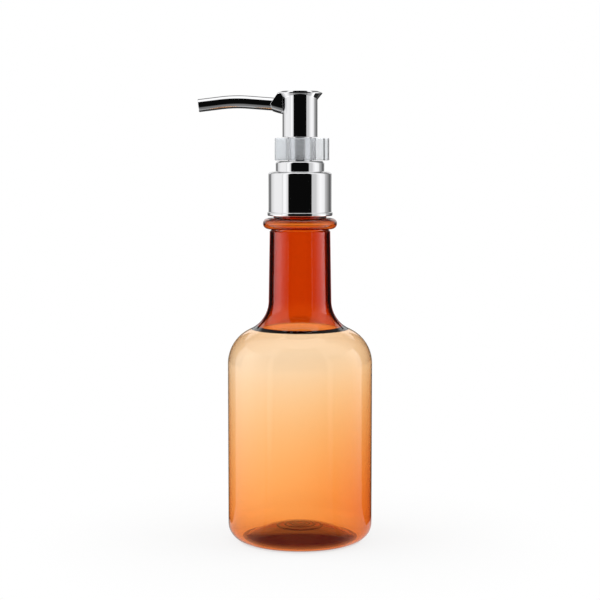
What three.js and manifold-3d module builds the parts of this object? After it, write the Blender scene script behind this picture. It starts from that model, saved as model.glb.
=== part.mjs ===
// An amber bottle with a long neck, closed by a chrome lotion pump that a clear snap clip locks.
// Millimetres, +Z up. The origin is on the bottle's axis, in the plane that the bottle stands on.
// The spout points along -X, and the clip is pulled off along +X.
// Most pieces are turned, so a profile is a list of [radius, height] points.

import * as THREE from 'three';
import { mergeVertices } from 'three/addons/utils/BufferGeometryUtils.js';
import Module from 'manifold-3d';

const wasm = await Module();
wasm.setup();

// Fits: pieces that rest on each other, pieces pushed together, and pieces that slide or turn
const SEAT_GAP = 0.3;
const PUSH_GAP = 0.25;
const RUN_GAP = 0.3;

// Bottle body
const BODY_DIAMETER = 62.8;
const BODY_HEIGHT = 77.5;
const CORNER_RADIUS = 7.0;
const FOOT_WIDTH = 1.0;
const PUSH_UP_HEIGHT = 6.0;
const SHOULDER_RADIUS = 16.2;
const FLARE_RADIUS = 13.8;

// Bottle neck: the step from the finish out to the neck, and the neck's draft down to the flare
const NECK_LENGTH = 30.2;
const NECK_STEP = 2.1;
const NECK_DRAFT = 0.5;
const BEAD_HEIGHT = 5.5;
const BEAD_REACH = 2.9;

// Bottle finish, the end that the pump screws on
const FINISH_HEIGHT = 14.4;
const FINISH_WALL = 1.85;
const LEDGE_REACH = 0.4;
const LEDGE_HEIGHT = 1.9;
const MOUTH_CHAMFER = 0.5;
const THREAD_DEPTH = 0.85;
const THREAD_GAP = 0.25;

// Bottle walls: thick in the neck and the flare, then one step to a thin shoulder, and thicker again
// towards the foot. The bead is hollow.
const NECK_WALL = 2.4;
const FLARE_WALL = 1.6;
const SHOULDER_WALL = 0.35;
const FOOT_WALL = 0.85;
const FLOOR_WALL = 1.1;
const BEAD_WALL = 1.15;

// Stem sleeve, the chrome tube that carries the head and sets the size of all that surrounds it
const SLEEVE_DIAMETER = 10.4;
const SLEEVE_WALL = 0.45;
const SLEEVE_ENTRY = 1.8;
const SLEEVE_GRIP = 3.0;

// Locking clip
const CLIP_HEIGHT = 9.6;
const CLIP_WALL = 1.2;
const CLIP_MOUTH = 7.6;
const CLIP_LIP_REACH = 4.1;
const CLIP_LIP_SPREAD = 1.6;
const CLIP_FIN_LENGTH = 3.2;
const CLIP_FIN_THICKNESS = 1.6;
const CLIP_GRIP_DIAMETER = 2.7;
const CLIP_CHAMFER = 0.25;

// Collar: a chrome shell pushed over the threaded closure cap
const COLLAR_LIFT = 1.1;
const COLLAR_WALL = 0.6;
const COLLAR_EDGE_RADIUS = 1.0;
const RIM_REACH = 0.45;
const RIM_HEIGHT = 1.5;
const RIM_CHAMFER = 0.3;
const STEP_HEIGHT = 4.7;
const STEP_EDGE_RADIUS = 1.1;
const CLOSURE_WALL = 0.65;
const CLOSURE_PLATE = 1.3;
const CLOSURE_RECESS = 0.5;
const GASKET_THICKNESS = 1.0;

// Chaplet, the guide that closes the barrel
const CHAPLET_WALL = 1.4;
const CHAPLET_FLOOR = 1.4;
const CHAPLET_FLANGE_REACH = 2.65;
const CHAPLET_FLANGE_THICKNESS = 1.2;
const CHAPLET_HUB_REACH = 0.7;

// Pump housing
const HOUSING_WALL = 1.0;
const HOUSING_FLANGE = 1.5;
const HOUSING_CLEARANCE = 1.0;
const BARREL_LEDGE = 1.2;
const CONE_HEIGHT = 2.8;
const THROAT_LENGTH = 0.8;
const INLET_LENGTH = 1.0;
const SOCKET_LENGTH = 6.5;

// Check ball: its free lift, the room round it, and how far the throat and the seat catch it
const BALL_DIAMETER = 4.0;
const BALL_LIFT = 1.2;
const BALL_GAP = 0.4;
const THROAT_CATCH = 0.3;
const SEAT_CATCH = 0.5;

// Dip tube
const DIP_DIAMETER = 4.4;
const DIP_WALL = 0.7;
const DIP_CLEARANCE = 2.5;
const DIP_CUT_ANGLE = 30;

// Stem, plug and piston
const STROKE_SPARE = 0.7;
const STEM_DIAMETER = 5.2;
const STEM_BORE = 3.0;
const STEM_GRIP = 5.7;
const STOP_REACH = 1.0;
const STOP_THICKNESS = 1.2;
const SPIGOT_WALL = 0.45;
const CROSS_HOLE_DIAMETER = 1.2;
const PLUG_REACH = 1.3;
const PLUG_THICKNESS = 1.2;
const PLUG_PIN_LENGTH = 2.0;
const PISTON_HEIGHT = 5.2;
const PISTON_SLIP = 1.2;
const PISTON_LIP_LENGTH = 1.5;
const PISTON_LIP_WALL = 0.45;
const PISTON_SEAL_LENGTH = 1.6;
const PISTON_RELIEF = 0.7;
const PISTON_HUB_WALL = 0.7;

// Return spring
const SPRING_WIRE = 0.8;
const SPRING_COILS = 9;

// Head: skirt, flared lip and core
const HEAD_HEIGHT = 19.7;
const HEAD_WALL = 0.55;
const HEAD_CHAMFER = 0.35;
const LIP_REACH = 2.1;
const LIP_FRONT_SHARE = 0.15;
const LIP_ROUNDNESS = 1.8;
const LIP_FLARE_HEIGHT = 2.6;
const LIP_EDGE = 1.0;
const LIP_CHAMFER = 0.6;
const CORE_WALL = 1.3;
const HUB_RECESS = 4.0;

// Spout: a tube that rises out of the head, bends once and drops to its tip
const SPOUT_DIAMETER = 5.6;
const SPOUT_WALL = 0.6;
const SPOUT_HEIGHT = 13.9;
const SPOUT_REACH = 36.1;
const SPOUT_BEND_REACH = 20.5;
const SPOUT_RISE_ANGLE = 4.3;
const SPOUT_DROP_ANGLE = 7.0;
const SPOUT_BEND_RADIUS = 60;
const SPOUT_INSET = 3.9;
const HOOD_WALL = 0.4;
const HOOD_LENGTH = 5.2;

// Facets: sides round a turned piece, and steps along an arc, a bend or one coil
const BODY_SIDES = 36;
const COLLAR_SIDES = 32;
const PUMP_SIDES = 24;
const TUBE_SIDES = 16;
const WIRE_SIDES = 5;
const SHOULDER_STEPS = 6;
const DOME_STEPS = 5;
const CORNER_STEPS = 4;
const EDGE_STEPS = 3;
const CLIP_STEPS = 9;
const SPOUT_STEPS = 14;
const COIL_STEPS = 8;

// Points closer than this are one point
const WELD = 1e-4;

// Radii, from the sleeve outwards: chaplet, housing, finish, thread, closure cap, collar shell
const sleeveRadius = SLEEVE_DIAMETER / 2;
const cupRadius = sleeveRadius + RUN_GAP;
const chapletRadius = cupRadius + CHAPLET_WALL;
const socketRadius = chapletRadius + PUSH_GAP;
const housingRadius = socketRadius + HOUSING_WALL;
const finishBore = housingRadius + HOUSING_CLEARANCE;
const finishRadius = finishBore + FINISH_WALL;
const closureBore = finishRadius + THREAD_DEPTH + THREAD_GAP;
const closureRadius = closureBore + CLOSURE_WALL;
const collarBore = closureRadius + PUSH_GAP;
const collarRadius = collarBore + COLLAR_WALL;
const chapletFlangeRadius = chapletRadius + CHAPLET_FLANGE_REACH;
const stepBore = chapletFlangeRadius + RUN_GAP;
const stepRadius = stepBore + COLLAR_WALL;
const grooveRadius = sleeveRadius + PUSH_GAP;
const coreRadius = grooveRadius + CORE_WALL;
const headBore = coreRadius + PUSH_GAP;
const headRadius = headBore + HEAD_WALL;
const barrelBore = chapletRadius - BARREL_LEDGE;
const barrelRadius = barrelBore + HOUSING_WALL;
const stemRadius = STEM_DIAMETER / 2;
const stemBore = STEM_BORE / 2;
const spoutRadius = SPOUT_DIAMETER / 2;

// Heights of the bottle
const bodyRadius = BODY_DIAMETER / 2;
const neckTopRadius = finishRadius + NECK_STEP;
const neckFootRadius = neckTopRadius + NECK_DRAFT;
const shoulderCentre = [bodyRadius - SHOULDER_RADIUS, BODY_HEIGHT];
const flareCentreRadius = neckFootRadius + FLARE_RADIUS;
const flareRise = Math.sqrt(
  (SHOULDER_RADIUS + FLARE_RADIUS) ** 2 - (flareCentreRadius - shoulderCentre[0]) ** 2,
);
const flareTop = BODY_HEIGHT + flareRise;
const neckTop = flareTop + NECK_LENGTH;
const beadTop = neckTop + BEAD_HEIGHT;
const mouth = beadTop + FINISH_HEIGHT;

// Heights of the pump, stacked on the mouth
const gasketBottom = mouth + SEAT_GAP;
const flangeBottom = gasketBottom + GASKET_THICKNESS + SEAT_GAP;
const flangeTop = flangeBottom + HOUSING_FLANGE;
const plateBottom = flangeTop + SEAT_GAP;
const plateTop = plateBottom + CLOSURE_PLATE;
const collarTop = plateTop + PUSH_GAP + COLLAR_WALL;
const collarBottom = beadTop + COLLAR_LIFT;
const stepTop = collarTop + STEP_HEIGHT;
const clipBottom = stepTop + SEAT_GAP;
const headBottom = clipBottom + CLIP_HEIGHT + SEAT_GAP;
const hubBottom = headBottom + HUB_RECESS;
const stroke = headBottom - stepTop - STROKE_SPARE;

// Heights inside the pump, hung from the lowest place that the sleeve reaches
const sleeveBottom = stepTop - SLEEVE_ENTRY;
const cupFloor = sleeveBottom - stroke - SEAT_GAP;
const chapletBottom = cupFloor - CHAPLET_FLOOR;
const stopTop = chapletBottom - SEAT_GAP;
const stopBottom = stopTop - STOP_THICKNESS;
const pistonTop = stopBottom - SEAT_GAP - PISTON_SLIP;
const pistonBottom = pistonTop - PISTON_HEIGHT;
const plugTop = pistonBottom - SEAT_GAP;
const plugBottom = plugTop - PLUG_THICKNESS;
const coneTop = plugBottom - stroke - SEAT_GAP;
const throatTop = coneTop - CONE_HEIGHT;
const throatBottom = throatTop - THROAT_LENGTH;

// The ball touches the throat at the end of its lift and the seat at rest, both through the seat gap
const ballRadius = BALL_DIAMETER / 2;
const cageRadius = ballRadius + BALL_GAP;
const throatRadius = ballRadius - THROAT_CATCH;
const seatRadius = ballRadius - SEAT_CATCH;
const ballReach = ballRadius + SEAT_GAP;
const ballHeight = throatBottom - Math.sqrt(ballReach ** 2 - throatRadius ** 2) - BALL_LIFT;
const seatTop = ballHeight - Math.sqrt(ballReach ** 2 - seatRadius ** 2);
const socketTop = seatTop - INLET_LENGTH;

// Points on an arc round a centre, with angles in degrees from the outward radius.
// The radius may change evenly on the way.
function arc(centre, radius, from, to, steps, endRadius = radius) {
  return Array.from({ length: steps + 1 }, (_, i) => {
    const share = i / steps;
    const angle = THREE.MathUtils.degToRad(from + (to - from) * share);
    const reach = radius + (endRadius - radius) * share;
    return [centre[0] + reach * Math.cos(angle), centre[1] + reach * Math.sin(angle)];
  });
}

// A solid of revolution round Z. The profile runs with the solid on its left, and it starts and
// ends on the axis or closes on itself.
function revolve(profile, sides) {
  const points = profile.map(([radius, height]) => new THREE.Vector2(radius, height));
  return new THREE.LatheGeometry(points, sides).rotateX(Math.PI / 2);
}

function revolveRing(profile, sides) {
  return revolve([...profile, profile[0]], sides);
}

function solidOf(geometry) {
  const bare = geometry.clone();
  bare.deleteAttribute('normal');
  bare.deleteAttribute('uv');
  const merged = mergeVertices(bare, WELD);
  return new wasm.Manifold(new wasm.Mesh({
    numProp: 3,
    vertProperties: merged.getAttribute('position').array,
    triVerts: new Uint32Array(merged.index.array),
  }));
}

function geometryOf(solid) {
  const mesh = solid.getMesh();
  const geometry = new THREE.BufferGeometry();
  geometry.setAttribute('position', new THREE.BufferAttribute(mesh.vertProperties, 3));
  geometry.setIndex(new THREE.BufferAttribute(mesh.triVerts, 1));
  geometry.computeVertexNormals();
  return geometry;
}

// A round bar from one point to another.
function bar(from, to, radius, sides) {
  const along = to.clone().sub(from);
  const turn = new THREE.Quaternion().setFromUnitVectors(
    new THREE.Vector3(0, 1, 0),
    along.clone().normalize(),
  );
  const middle = from.clone().addScaledVector(along, 0.5);
  const geometry = new THREE.CylinderGeometry(radius, radius, along.length(), sides);
  return geometry.applyQuaternion(turn).translate(middle.x, middle.y, middle.z);
}

function finish(color, roughness, metalness, opacity = 1) {
  return new THREE.MeshStandardMaterial({
    color,
    roughness,
    metalness,
    opacity,
    transparent: opacity < 1,
  });
}

const amber = () => finish(0xd9701a, 0.05, 0, 0.7);
const chrome = () => finish(0xd8dadc, 0.06, 1);
const clearPlastic = () => finish(0xe4e8ea, 0.25, 0, 0.6);
const whitePlastic = () => finish(0xeceae4, 0.4, 0);
const softPlastic = () => finish(0xe6e3da, 0.55, 0);
const steel = () => finish(0xb9bcc0, 0.25, 1);
const glass = () => finish(0xd5e2e0, 0.05, 0, 0.5);

function piece(name, geometry, material) {
  const mesh = new THREE.Mesh(geometry, material);
  mesh.name = name;
  return mesh;
}

// The shoulder and the flare are two arcs that meet where their centres line up. There the wall steps
// from the flare's thickness to the shoulder's.
function bottleGeometry() {
  const flareCentre = [flareCentreRadius, flareTop];
  const swing = THREE.MathUtils.radToDeg(
    Math.atan2(flareTop - BODY_HEIGHT, flareCentreRadius - shoulderCentre[0]),
  );
  const footRadius = bodyRadius - CORNER_RADIUS;
  const footBore = footRadius - FOOT_WIDTH;
  const cornerCentre = [footRadius, CORNER_RADIUS];
  const domeRadius = (footBore ** 2 + PUSH_UP_HEIGHT ** 2) / (2 * PUSH_UP_HEIGHT);
  const domeCentre = [0, PUSH_UP_HEIGHT - domeRadius];
  const domeEdge = THREE.MathUtils.radToDeg(Math.acos(footBore / domeRadius));
  const beadSection = BEAD_HEIGHT / 2;
  const beadCentre = [neckTopRadius + BEAD_REACH - beadSection, neckTop + beadSection];
  const beadHollow = beadSection - BEAD_WALL;
  const ledgeRadius = finishRadius + LEDGE_REACH;
  const flareInside = FLARE_RADIUS + NECK_WALL;
  const outside = [
    ...arc(domeCentre, domeRadius, 90, domeEdge, DOME_STEPS),
    ...arc(cornerCentre, CORNER_RADIUS, -90, 0, CORNER_STEPS),
    ...arc(shoulderCentre, SHOULDER_RADIUS, 0, swing, SHOULDER_STEPS),
    ...arc(flareCentre, FLARE_RADIUS, 180 + swing, 180, SHOULDER_STEPS).slice(1),
    [neckTopRadius, neckTop],
    ...arc(beadCentre, beadSection, -90, 90, 2 * EDGE_STEPS),
    [ledgeRadius, beadTop],
    [ledgeRadius, beadTop + LEDGE_HEIGHT],
    [finishRadius, beadTop + LEDGE_HEIGHT + LEDGE_REACH],
    [finishRadius, mouth - MOUTH_CHAMFER],
    [finishRadius - MOUTH_CHAMFER, mouth],
  ];
  const inside = [
    [finishBore, mouth],
    [finishBore, beadCentre[1] + beadHollow],
    ...arc(beadCentre, beadHollow, 90, -90, EDGE_STEPS),
    [neckTopRadius - NECK_WALL, beadCentre[1] - beadHollow],
    ...arc(flareCentre, flareInside, 180, 180 + swing, SHOULDER_STEPS, FLARE_RADIUS + FLARE_WALL),
    ...arc(shoulderCentre, SHOULDER_RADIUS - SHOULDER_WALL, swing, 0, SHOULDER_STEPS),
    ...arc(cornerCentre, CORNER_RADIUS - FOOT_WALL, 0, -90, CORNER_STEPS),
    ...arc(domeCentre, domeRadius + FLOOR_WALL, domeEdge, 90, DOME_STEPS),
  ];
  return revolve([...outside, ...inside], BODY_SIDES);
}

function gasketGeometry() {
  const gasketBore = housingRadius + RUN_GAP;
  const top = gasketBottom + GASKET_THICKNESS;
  return revolveRing([
    [gasketBore, gasketBottom],
    [finishRadius, gasketBottom],
    [finishRadius, top],
    [gasketBore, top],
  ], COLLAR_SIDES);
}

// A stepped cup that stands upside down, with a rim at its open end and a hole for the sleeve.
function collarShellGeometry() {
  const rimRadius = collarRadius + RIM_REACH;
  const rimTop = collarBottom + RIM_HEIGHT;
  const edge = [collarRadius - COLLAR_EDGE_RADIUS, collarTop - COLLAR_EDGE_RADIUS];
  const stepEdge = [stepRadius - STEP_EDGE_RADIUS, stepTop - STEP_EDGE_RADIUS];
  return revolveRing([
    [collarBore, collarBottom],
    [rimRadius - RIM_CHAMFER, collarBottom],
    [rimRadius, collarBottom + RIM_CHAMFER],
    [rimRadius, rimTop - RIM_CHAMFER],
    [collarRadius, rimTop],
    ...arc(edge, COLLAR_EDGE_RADIUS, 0, 90, EDGE_STEPS),
    [stepRadius, collarTop],
    ...arc(stepEdge, STEP_EDGE_RADIUS, 0, 90, EDGE_STEPS),
    [cupRadius, stepTop],
    [cupRadius, stepTop - COLLAR_WALL],
    [stepBore, stepTop - COLLAR_WALL],
    [stepBore, collarTop - COLLAR_WALL],
    [collarBore, collarTop - COLLAR_WALL],
  ], COLLAR_SIDES);
}

function closureCapGeometry() {
  const plateBore = chapletRadius + RUN_GAP;
  const bottom = collarBottom + CLOSURE_RECESS;
  return revolveRing([
    [closureBore, bottom],
    [closureRadius, bottom],
    [closureRadius, plateTop],
    [plateBore, plateTop],
    [plateBore, plateBottom],
    [closureBore, plateBottom],
  ], COLLAR_SIDES);
}

// A cup that takes the sleeve's travel. Its flange lies over the closure cap and traps it.
function chapletGeometry() {
  const hubRadius = chapletRadius + CHAPLET_HUB_REACH;
  const hubTop = stepTop - COLLAR_WALL - SEAT_GAP;
  const stemHole = stemRadius + RUN_GAP;
  const bottom = plateTop + SEAT_GAP;
  const top = bottom + CHAPLET_FLANGE_THICKNESS;
  return revolveRing([
    [stemHole, chapletBottom],
    [chapletRadius, chapletBottom],
    [chapletRadius, bottom],
    [chapletFlangeRadius, bottom],
    [chapletFlangeRadius, top],
    [hubRadius, top],
    [hubRadius, hubTop],
    [cupRadius, hubTop],
    [cupRadius, cupFloor],
    [stemHole, cupFloor],
  ], PUMP_SIDES);
}

// From the dip tube's socket up: socket, inlet, ball cage, throat, barrel, chaplet socket and flange.
function housingGeometry() {
  const dipSocket = DIP_DIAMETER / 2 + PUSH_GAP;
  const socketOutside = dipSocket + HOUSING_WALL;
  const cageOutside = cageRadius + HOUSING_WALL;
  const socketFloor = chapletBottom - SEAT_GAP;
  const socketBottom = socketTop - SOCKET_LENGTH;
  return revolveRing([
    [dipSocket, socketBottom],
    [socketOutside, socketBottom],
    [socketOutside, socketTop],
    [cageOutside, seatTop],
    [cageOutside, throatBottom],
    [barrelRadius, coneTop - THROAT_LENGTH],
    [barrelRadius, socketFloor - HOUSING_WALL],
    [housingRadius, socketFloor],
    [housingRadius, flangeBottom],
    [finishRadius, flangeBottom],
    [finishRadius, flangeTop],
    [socketRadius, flangeTop],
    [socketRadius, socketFloor],
    [barrelBore, socketFloor],
    [barrelBore, coneTop],
    [throatRadius, throatTop],
    [throatRadius, throatBottom],
    [cageRadius, throatBottom - THROAT_CATCH],
    [cageRadius, seatTop + cageRadius - seatRadius],
    [seatRadius, seatTop],
    [seatRadius, socketTop],
    [dipSocket, socketTop],
  ], PUMP_SIDES);
}

function dipTubeGeometry() {
  const radius = DIP_DIAMETER / 2;
  const bore = radius - DIP_WALL;
  const top = socketTop - SEAT_GAP;
  const bottom = PUSH_UP_HEIGHT + FLOOR_WALL + DIP_CLEARANCE;
  const tube = revolveRing([[bore, bottom], [radius, bottom], [radius, top], [bore, top]], TUBE_SIDES);
  const slope = THREE.MathUtils.degToRad(DIP_CUT_ANGLE);
  const cutter = new THREE.BoxGeometry(4 * DIP_DIAMETER, 2 * DIP_DIAMETER, 2 * DIP_DIAMETER);
  cutter.translate(0, 0, -DIP_DIAMETER);
  cutter.rotateY(slope);
  cutter.translate(0, 0, bottom + radius * Math.tan(slope));
  return geometryOf(solidOf(tube).subtract(solidOf(cutter)));
}

// A tube with a stop flange under the chaplet and a thinner spigot, cross-drilled, for the piston.
const spigotRadius = stemBore + SPIGOT_WALL;

function stemGeometry() {
  const top = hubBottom + STEM_GRIP;
  const tube = revolveRing([
    [stemBore, pistonBottom],
    [spigotRadius, pistonBottom],
    [spigotRadius, stopBottom],
    [stemRadius + STOP_REACH, stopBottom],
    [stemRadius + STOP_REACH, stopTop],
    [stemRadius, stopTop],
    [stemRadius, top],
    [stemBore, top],
  ], PUMP_SIDES);
  const holeHeight = plugTop + PLUG_PIN_LENGTH + CROSS_HOLE_DIAMETER;
  const reach = 2 * spigotRadius;
  const drill = bar(
    new THREE.Vector3(-reach, 0, holeHeight),
    new THREE.Vector3(reach, 0, holeHeight),
    CROSS_HOLE_DIAMETER / 2,
    TUBE_SIDES,
  );
  return geometryOf(solidOf(tube).subtract(solidOf(drill)));
}

function stemPlugGeometry() {
  const pinRadius = stemBore - PUSH_GAP;
  const plugRadius = spigotRadius + PLUG_REACH;
  return revolve([
    [0, plugBottom],
    [plugRadius - PLUG_THICKNESS / 2, plugBottom],
    [plugRadius, plugBottom + PLUG_THICKNESS / 2],
    [plugRadius, plugTop],
    [pinRadius, plugTop],
    [pinRadius, plugTop + PLUG_PIN_LENGTH],
    [0, plugTop + PLUG_PIN_LENGTH],
  ], PUMP_SIDES);
}

// Two thin lips wipe the barrel. The hub seals on the spigot above, and is relieved round the cross holes.
function pistonGeometry() {
  const lipRadius = barrelBore - RUN_GAP;
  const webRadius = lipRadius - PISTON_LIP_WALL;
  const sealBore = spigotRadius + RUN_GAP;
  const reliefBore = sealBore + PISTON_RELIEF;
  const hubRadius = reliefBore + PISTON_HUB_WALL;
  const upperWeb = pistonTop - PISTON_LIP_LENGTH;
  const lowerWeb = pistonBottom + PISTON_LIP_LENGTH;
  const lipRoot = webRadius - PISTON_LIP_WALL;
  return revolveRing([
    [reliefBore, pistonBottom],
    [hubRadius, pistonBottom],
    [hubRadius, lowerWeb],
    [lipRoot, lowerWeb],
    [webRadius, pistonBottom],
    [lipRadius, pistonBottom],
    [webRadius, lowerWeb],
    [webRadius, upperWeb],
    [lipRadius, pistonTop],
    [webRadius, pistonTop],
    [lipRoot, upperWeb],
    [hubRadius, upperWeb],
    [hubRadius, pistonTop],
    [sealBore, pistonTop],
    [sealBore, pistonTop - PISTON_SEAL_LENGTH],
    [reliefBore, pistonTop - PISTON_SEAL_LENGTH],
  ], PUMP_SIDES);
}

// A coil of wire that climbs evenly round Z.
class Helix extends THREE.Curve {
  constructor(radius, height, turns) {
    super();
    this.radius = radius;
    this.height = height;
    this.turns = turns;
  }

  getPoint(share, target = new THREE.Vector3()) {
    const angle = 2 * Math.PI * this.turns * share;
    const x = this.radius * Math.cos(angle);
    const y = this.radius * Math.sin(angle);
    return target.set(x, y, this.height * share);
  }
}

// The least distance between the surfaces of coils that are at least half a turn apart.
function leastCoilGap(helix, wire) {
  const points = helix.getPoints(COIL_STEPS * SPRING_COILS);
  const apart = COIL_STEPS / 2;
  let least = Infinity;
  points.forEach((point, i) => {
    for (let j = i + apart; j < points.length; j++) {
      least = Math.min(least, point.distanceTo(points[j]) - wire);
    }
  });
  return least;
}

// The spring stands on the chaplet's floor and pushes the head's core up.
const springBottom = cupFloor + SEAT_GAP + SPRING_WIRE / 2;
const springTop = hubBottom - SEAT_GAP - SPRING_WIRE / 2;

function returnSpringGeometry() {
  const radius = (stemRadius + sleeveRadius - SLEEVE_WALL) / 2;
  const helix = new Helix(radius, springTop - springBottom, SPRING_COILS);
  console.log(`return_spring: least gap between coils ${leastCoilGap(helix, SPRING_WIRE).toFixed(2)} mm`);
  const section = new THREE.Shape(
    Array.from({ length: WIRE_SIDES }, (_, i) => {
      const angle = 2 * Math.PI * i / WIRE_SIDES;
      return new THREE.Vector2(Math.cos(angle), Math.sin(angle)).multiplyScalar(SPRING_WIRE / 2);
    }),
  );
  return new THREE.ExtrudeGeometry(section, { extrudePath: helix, steps: COIL_STEPS * SPRING_COILS });
}

// An open ring that snaps round the sleeve: two spread lips at its mouth, a fin and a round grip behind.
function clipGeometry() {
  const bore = sleeveRadius + RUN_GAP;
  const radius = bore + CLIP_WALL;
  const mouthAngle = Math.PI - Math.asin(CLIP_MOUTH / 2 / bore);
  const lipAngle = Math.PI - Math.asin((CLIP_MOUTH / 2 + CLIP_WALL) / radius);
  const lipX = -radius - CLIP_LIP_REACH;
  const lipInside = CLIP_MOUTH / 2 + CLIP_LIP_SPREAD;
  const lipOutside = lipInside + CLIP_WALL;
  const half = CLIP_FIN_THICKNESS / 2;
  const finAngle = Math.asin(half / radius);
  const gripRadius = CLIP_GRIP_DIAMETER / 2;
  const gripX = radius + CLIP_FIN_LENGTH + gripRadius;
  const gripAngle = Math.PI - Math.asin(half / gripRadius);
  const outline = new THREE.Shape();
  outline.moveTo(lipX, lipInside);
  outline.lineTo(lipX, lipOutside);
  outline.absarc(0, 0, radius, lipAngle, finAngle, true);
  outline.absarc(gripX, 0, gripRadius, gripAngle, -gripAngle, true);
  outline.absarc(0, 0, radius, -finAngle, -lipAngle, true);
  outline.lineTo(lipX, -lipOutside);
  outline.lineTo(lipX, -lipInside);
  outline.absarc(0, 0, bore, -mouthAngle, mouthAngle, false);
  const geometry = new THREE.ExtrudeGeometry(outline, {
    depth: CLIP_HEIGHT - 2 * CLIP_CHAMFER,
    curveSegments: CLIP_STEPS,
    bevelThickness: CLIP_CHAMFER,
    bevelSize: CLIP_CHAMFER,
    bevelOffset: -CLIP_CHAMFER,
    bevelSegments: 1,
  });
  return geometry.translate(0, 0, CLIP_CHAMFER);
}

// The head's pieces are drawn from the lower edge of its skirt, so z is 0 there.
// The sleeve hangs from a groove in the head's core down through the collar.
function sleeveGeometry() {
  const bore = sleeveRadius - SLEEVE_WALL;
  const bottom = sleeveBottom - headBottom;
  const top = HUB_RECESS + SLEEVE_GRIP - SEAT_GAP;
  return revolveRing([
    [bore, bottom],
    [sleeveRadius, bottom],
    [sleeveRadius, top],
    [bore, top],
  ], COLLAR_SIDES);
}

// The spout's centre line leaves the skirt at the spout's height and rises to the bend.
class SpoutLine extends THREE.Curve {
  constructor() {
    super();
    const rise = THREE.MathUtils.degToRad(SPOUT_RISE_ANGLE);
    const drop = THREE.MathUtils.degToRad(SPOUT_DROP_ANGLE);
    const tangent = SPOUT_BEND_RADIUS * Math.tan((rise + drop) / 2);
    this.rise = rise;
    this.root = new THREE.Vector3(-headRadius, 0, SPOUT_HEIGHT);
    this.inset = SPOUT_INSET;
    this.riseLength = SPOUT_INSET + SPOUT_BEND_REACH / Math.cos(rise) - tangent;
    this.bendLength = SPOUT_BEND_RADIUS * (rise + drop);
    this.dropLength = (SPOUT_REACH - SPOUT_BEND_REACH) / Math.cos(drop) - tangent;
  }

  getPoint(share, target = new THREE.Vector3()) {
    const along = share * (this.riseLength + this.bendLength + this.dropLength);
    const straight = Math.min(along, this.riseLength) - this.inset;
    const bent = THREE.MathUtils.clamp(along - this.riseLength, 0, this.bendLength);
    const end = Math.max(along - this.riseLength - this.bendLength, 0);
    const slope = this.rise - bent / SPOUT_BEND_RADIUS;
    const out = straight * Math.cos(this.rise)
      + SPOUT_BEND_RADIUS * (Math.sin(this.rise) - Math.sin(slope))
      + end * Math.cos(slope);
    const up = straight * Math.sin(this.rise)
      + SPOUT_BEND_RADIUS * (Math.cos(slope) - Math.cos(this.rise))
      + end * Math.sin(slope);
    return target.set(this.root.x - out, 0, this.root.z + up);
  }
}

const spoutLine = new SpoutLine();

// A point on the straight root of the spout, at a distance outside the skirt.
function spoutRoot(out) {
  const along = out / Math.cos(spoutLine.rise);
  return spoutLine.root.clone().add(
    new THREE.Vector3(-out, 0, along * Math.sin(spoutLine.rise)),
  );
}

function spoutTubeGeometry() {
  const section = new THREE.Shape().absarc(0, 0, spoutRadius, 0, 2 * Math.PI);
  section.holes.push(new THREE.Path().absarc(0, 0, spoutRadius - SPOUT_WALL, 0, 2 * Math.PI));
  return new THREE.ExtrudeGeometry(section, {
    extrudePath: spoutLine,
    steps: SPOUT_STEPS,
    curveSegments: TUBE_SIDES / 2,
  });
}

// The lip reaches furthest along X and least at the front and back. Its flare shrinks with it.
function lipShare(angle) {
  return LIP_FRONT_SHARE + (1 - LIP_FRONT_SHARE) * Math.abs(Math.cos(angle)) ** LIP_ROUNDNESS;
}

function headCupGeometry() {
  const lipBottom = HEAD_HEIGHT - LIP_EDGE;
  const lipRadius = headRadius + LIP_REACH;
  const ceiling = HEAD_HEIGHT - HEAD_WALL;
  const geometry = revolve([
    [0, ceiling],
    [headBore, ceiling],
    [headBore, 0],
    [headRadius - HEAD_CHAMFER, 0],
    [headRadius, HEAD_CHAMFER],
    [headRadius, lipBottom - LIP_FLARE_HEIGHT],
    [lipRadius, lipBottom],
    [lipRadius, HEAD_HEIGHT - LIP_CHAMFER],
    [lipRadius - LIP_CHAMFER, HEAD_HEIGHT],
    [0, HEAD_HEIGHT],
  ], COLLAR_SIDES);
  const positions = geometry.getAttribute('position');
  for (let i = 0; i < positions.count; i++) {
    const [x, y, z] = [positions.getX(i), positions.getY(i), positions.getZ(i)];
    const radius = Math.hypot(x, y);
    const onLip = z > HEAD_HEIGHT / 2 && radius > headBore + HEAD_WALL / 2;
    if (!onLip) continue;
    const share = lipShare(Math.atan2(y, x));
    const reach = headRadius + (radius - headRadius) * share;
    positions.setXYZ(
      i,
      x * reach / radius,
      y * reach / radius,
      z < lipBottom ? lipBottom - (lipBottom - z) * share : z,
    );
  }
  return geometry;
}

// A saddle over the spout's root, cut back at a slope from the lip down to the spout's middle.
function hoodGeometry() {
  const halfWidth = spoutRadius + PUSH_GAP + HOOD_WALL;
  const lipBottom = HEAD_HEIGHT - LIP_EDGE;
  const inside = -headRadius + HEAD_WALL / 2;
  const side = new THREE.Shape([
    new THREE.Vector2(inside, SPOUT_HEIGHT),
    new THREE.Vector2(-headRadius - HOOD_LENGTH, spoutRoot(HOOD_LENGTH).z),
    new THREE.Vector2(-headRadius - LIP_REACH + LIP_CHAMFER, lipBottom + LIP_EDGE / 2),
    new THREE.Vector2(inside, lipBottom + LIP_EDGE / 2),
  ]);
  const geometry = new THREE.ExtrudeGeometry(side, { depth: 2 * halfWidth, bevelEnabled: false });
  return geometry.rotateX(Math.PI / 2).translate(0, halfWidth, 0);
}

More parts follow.
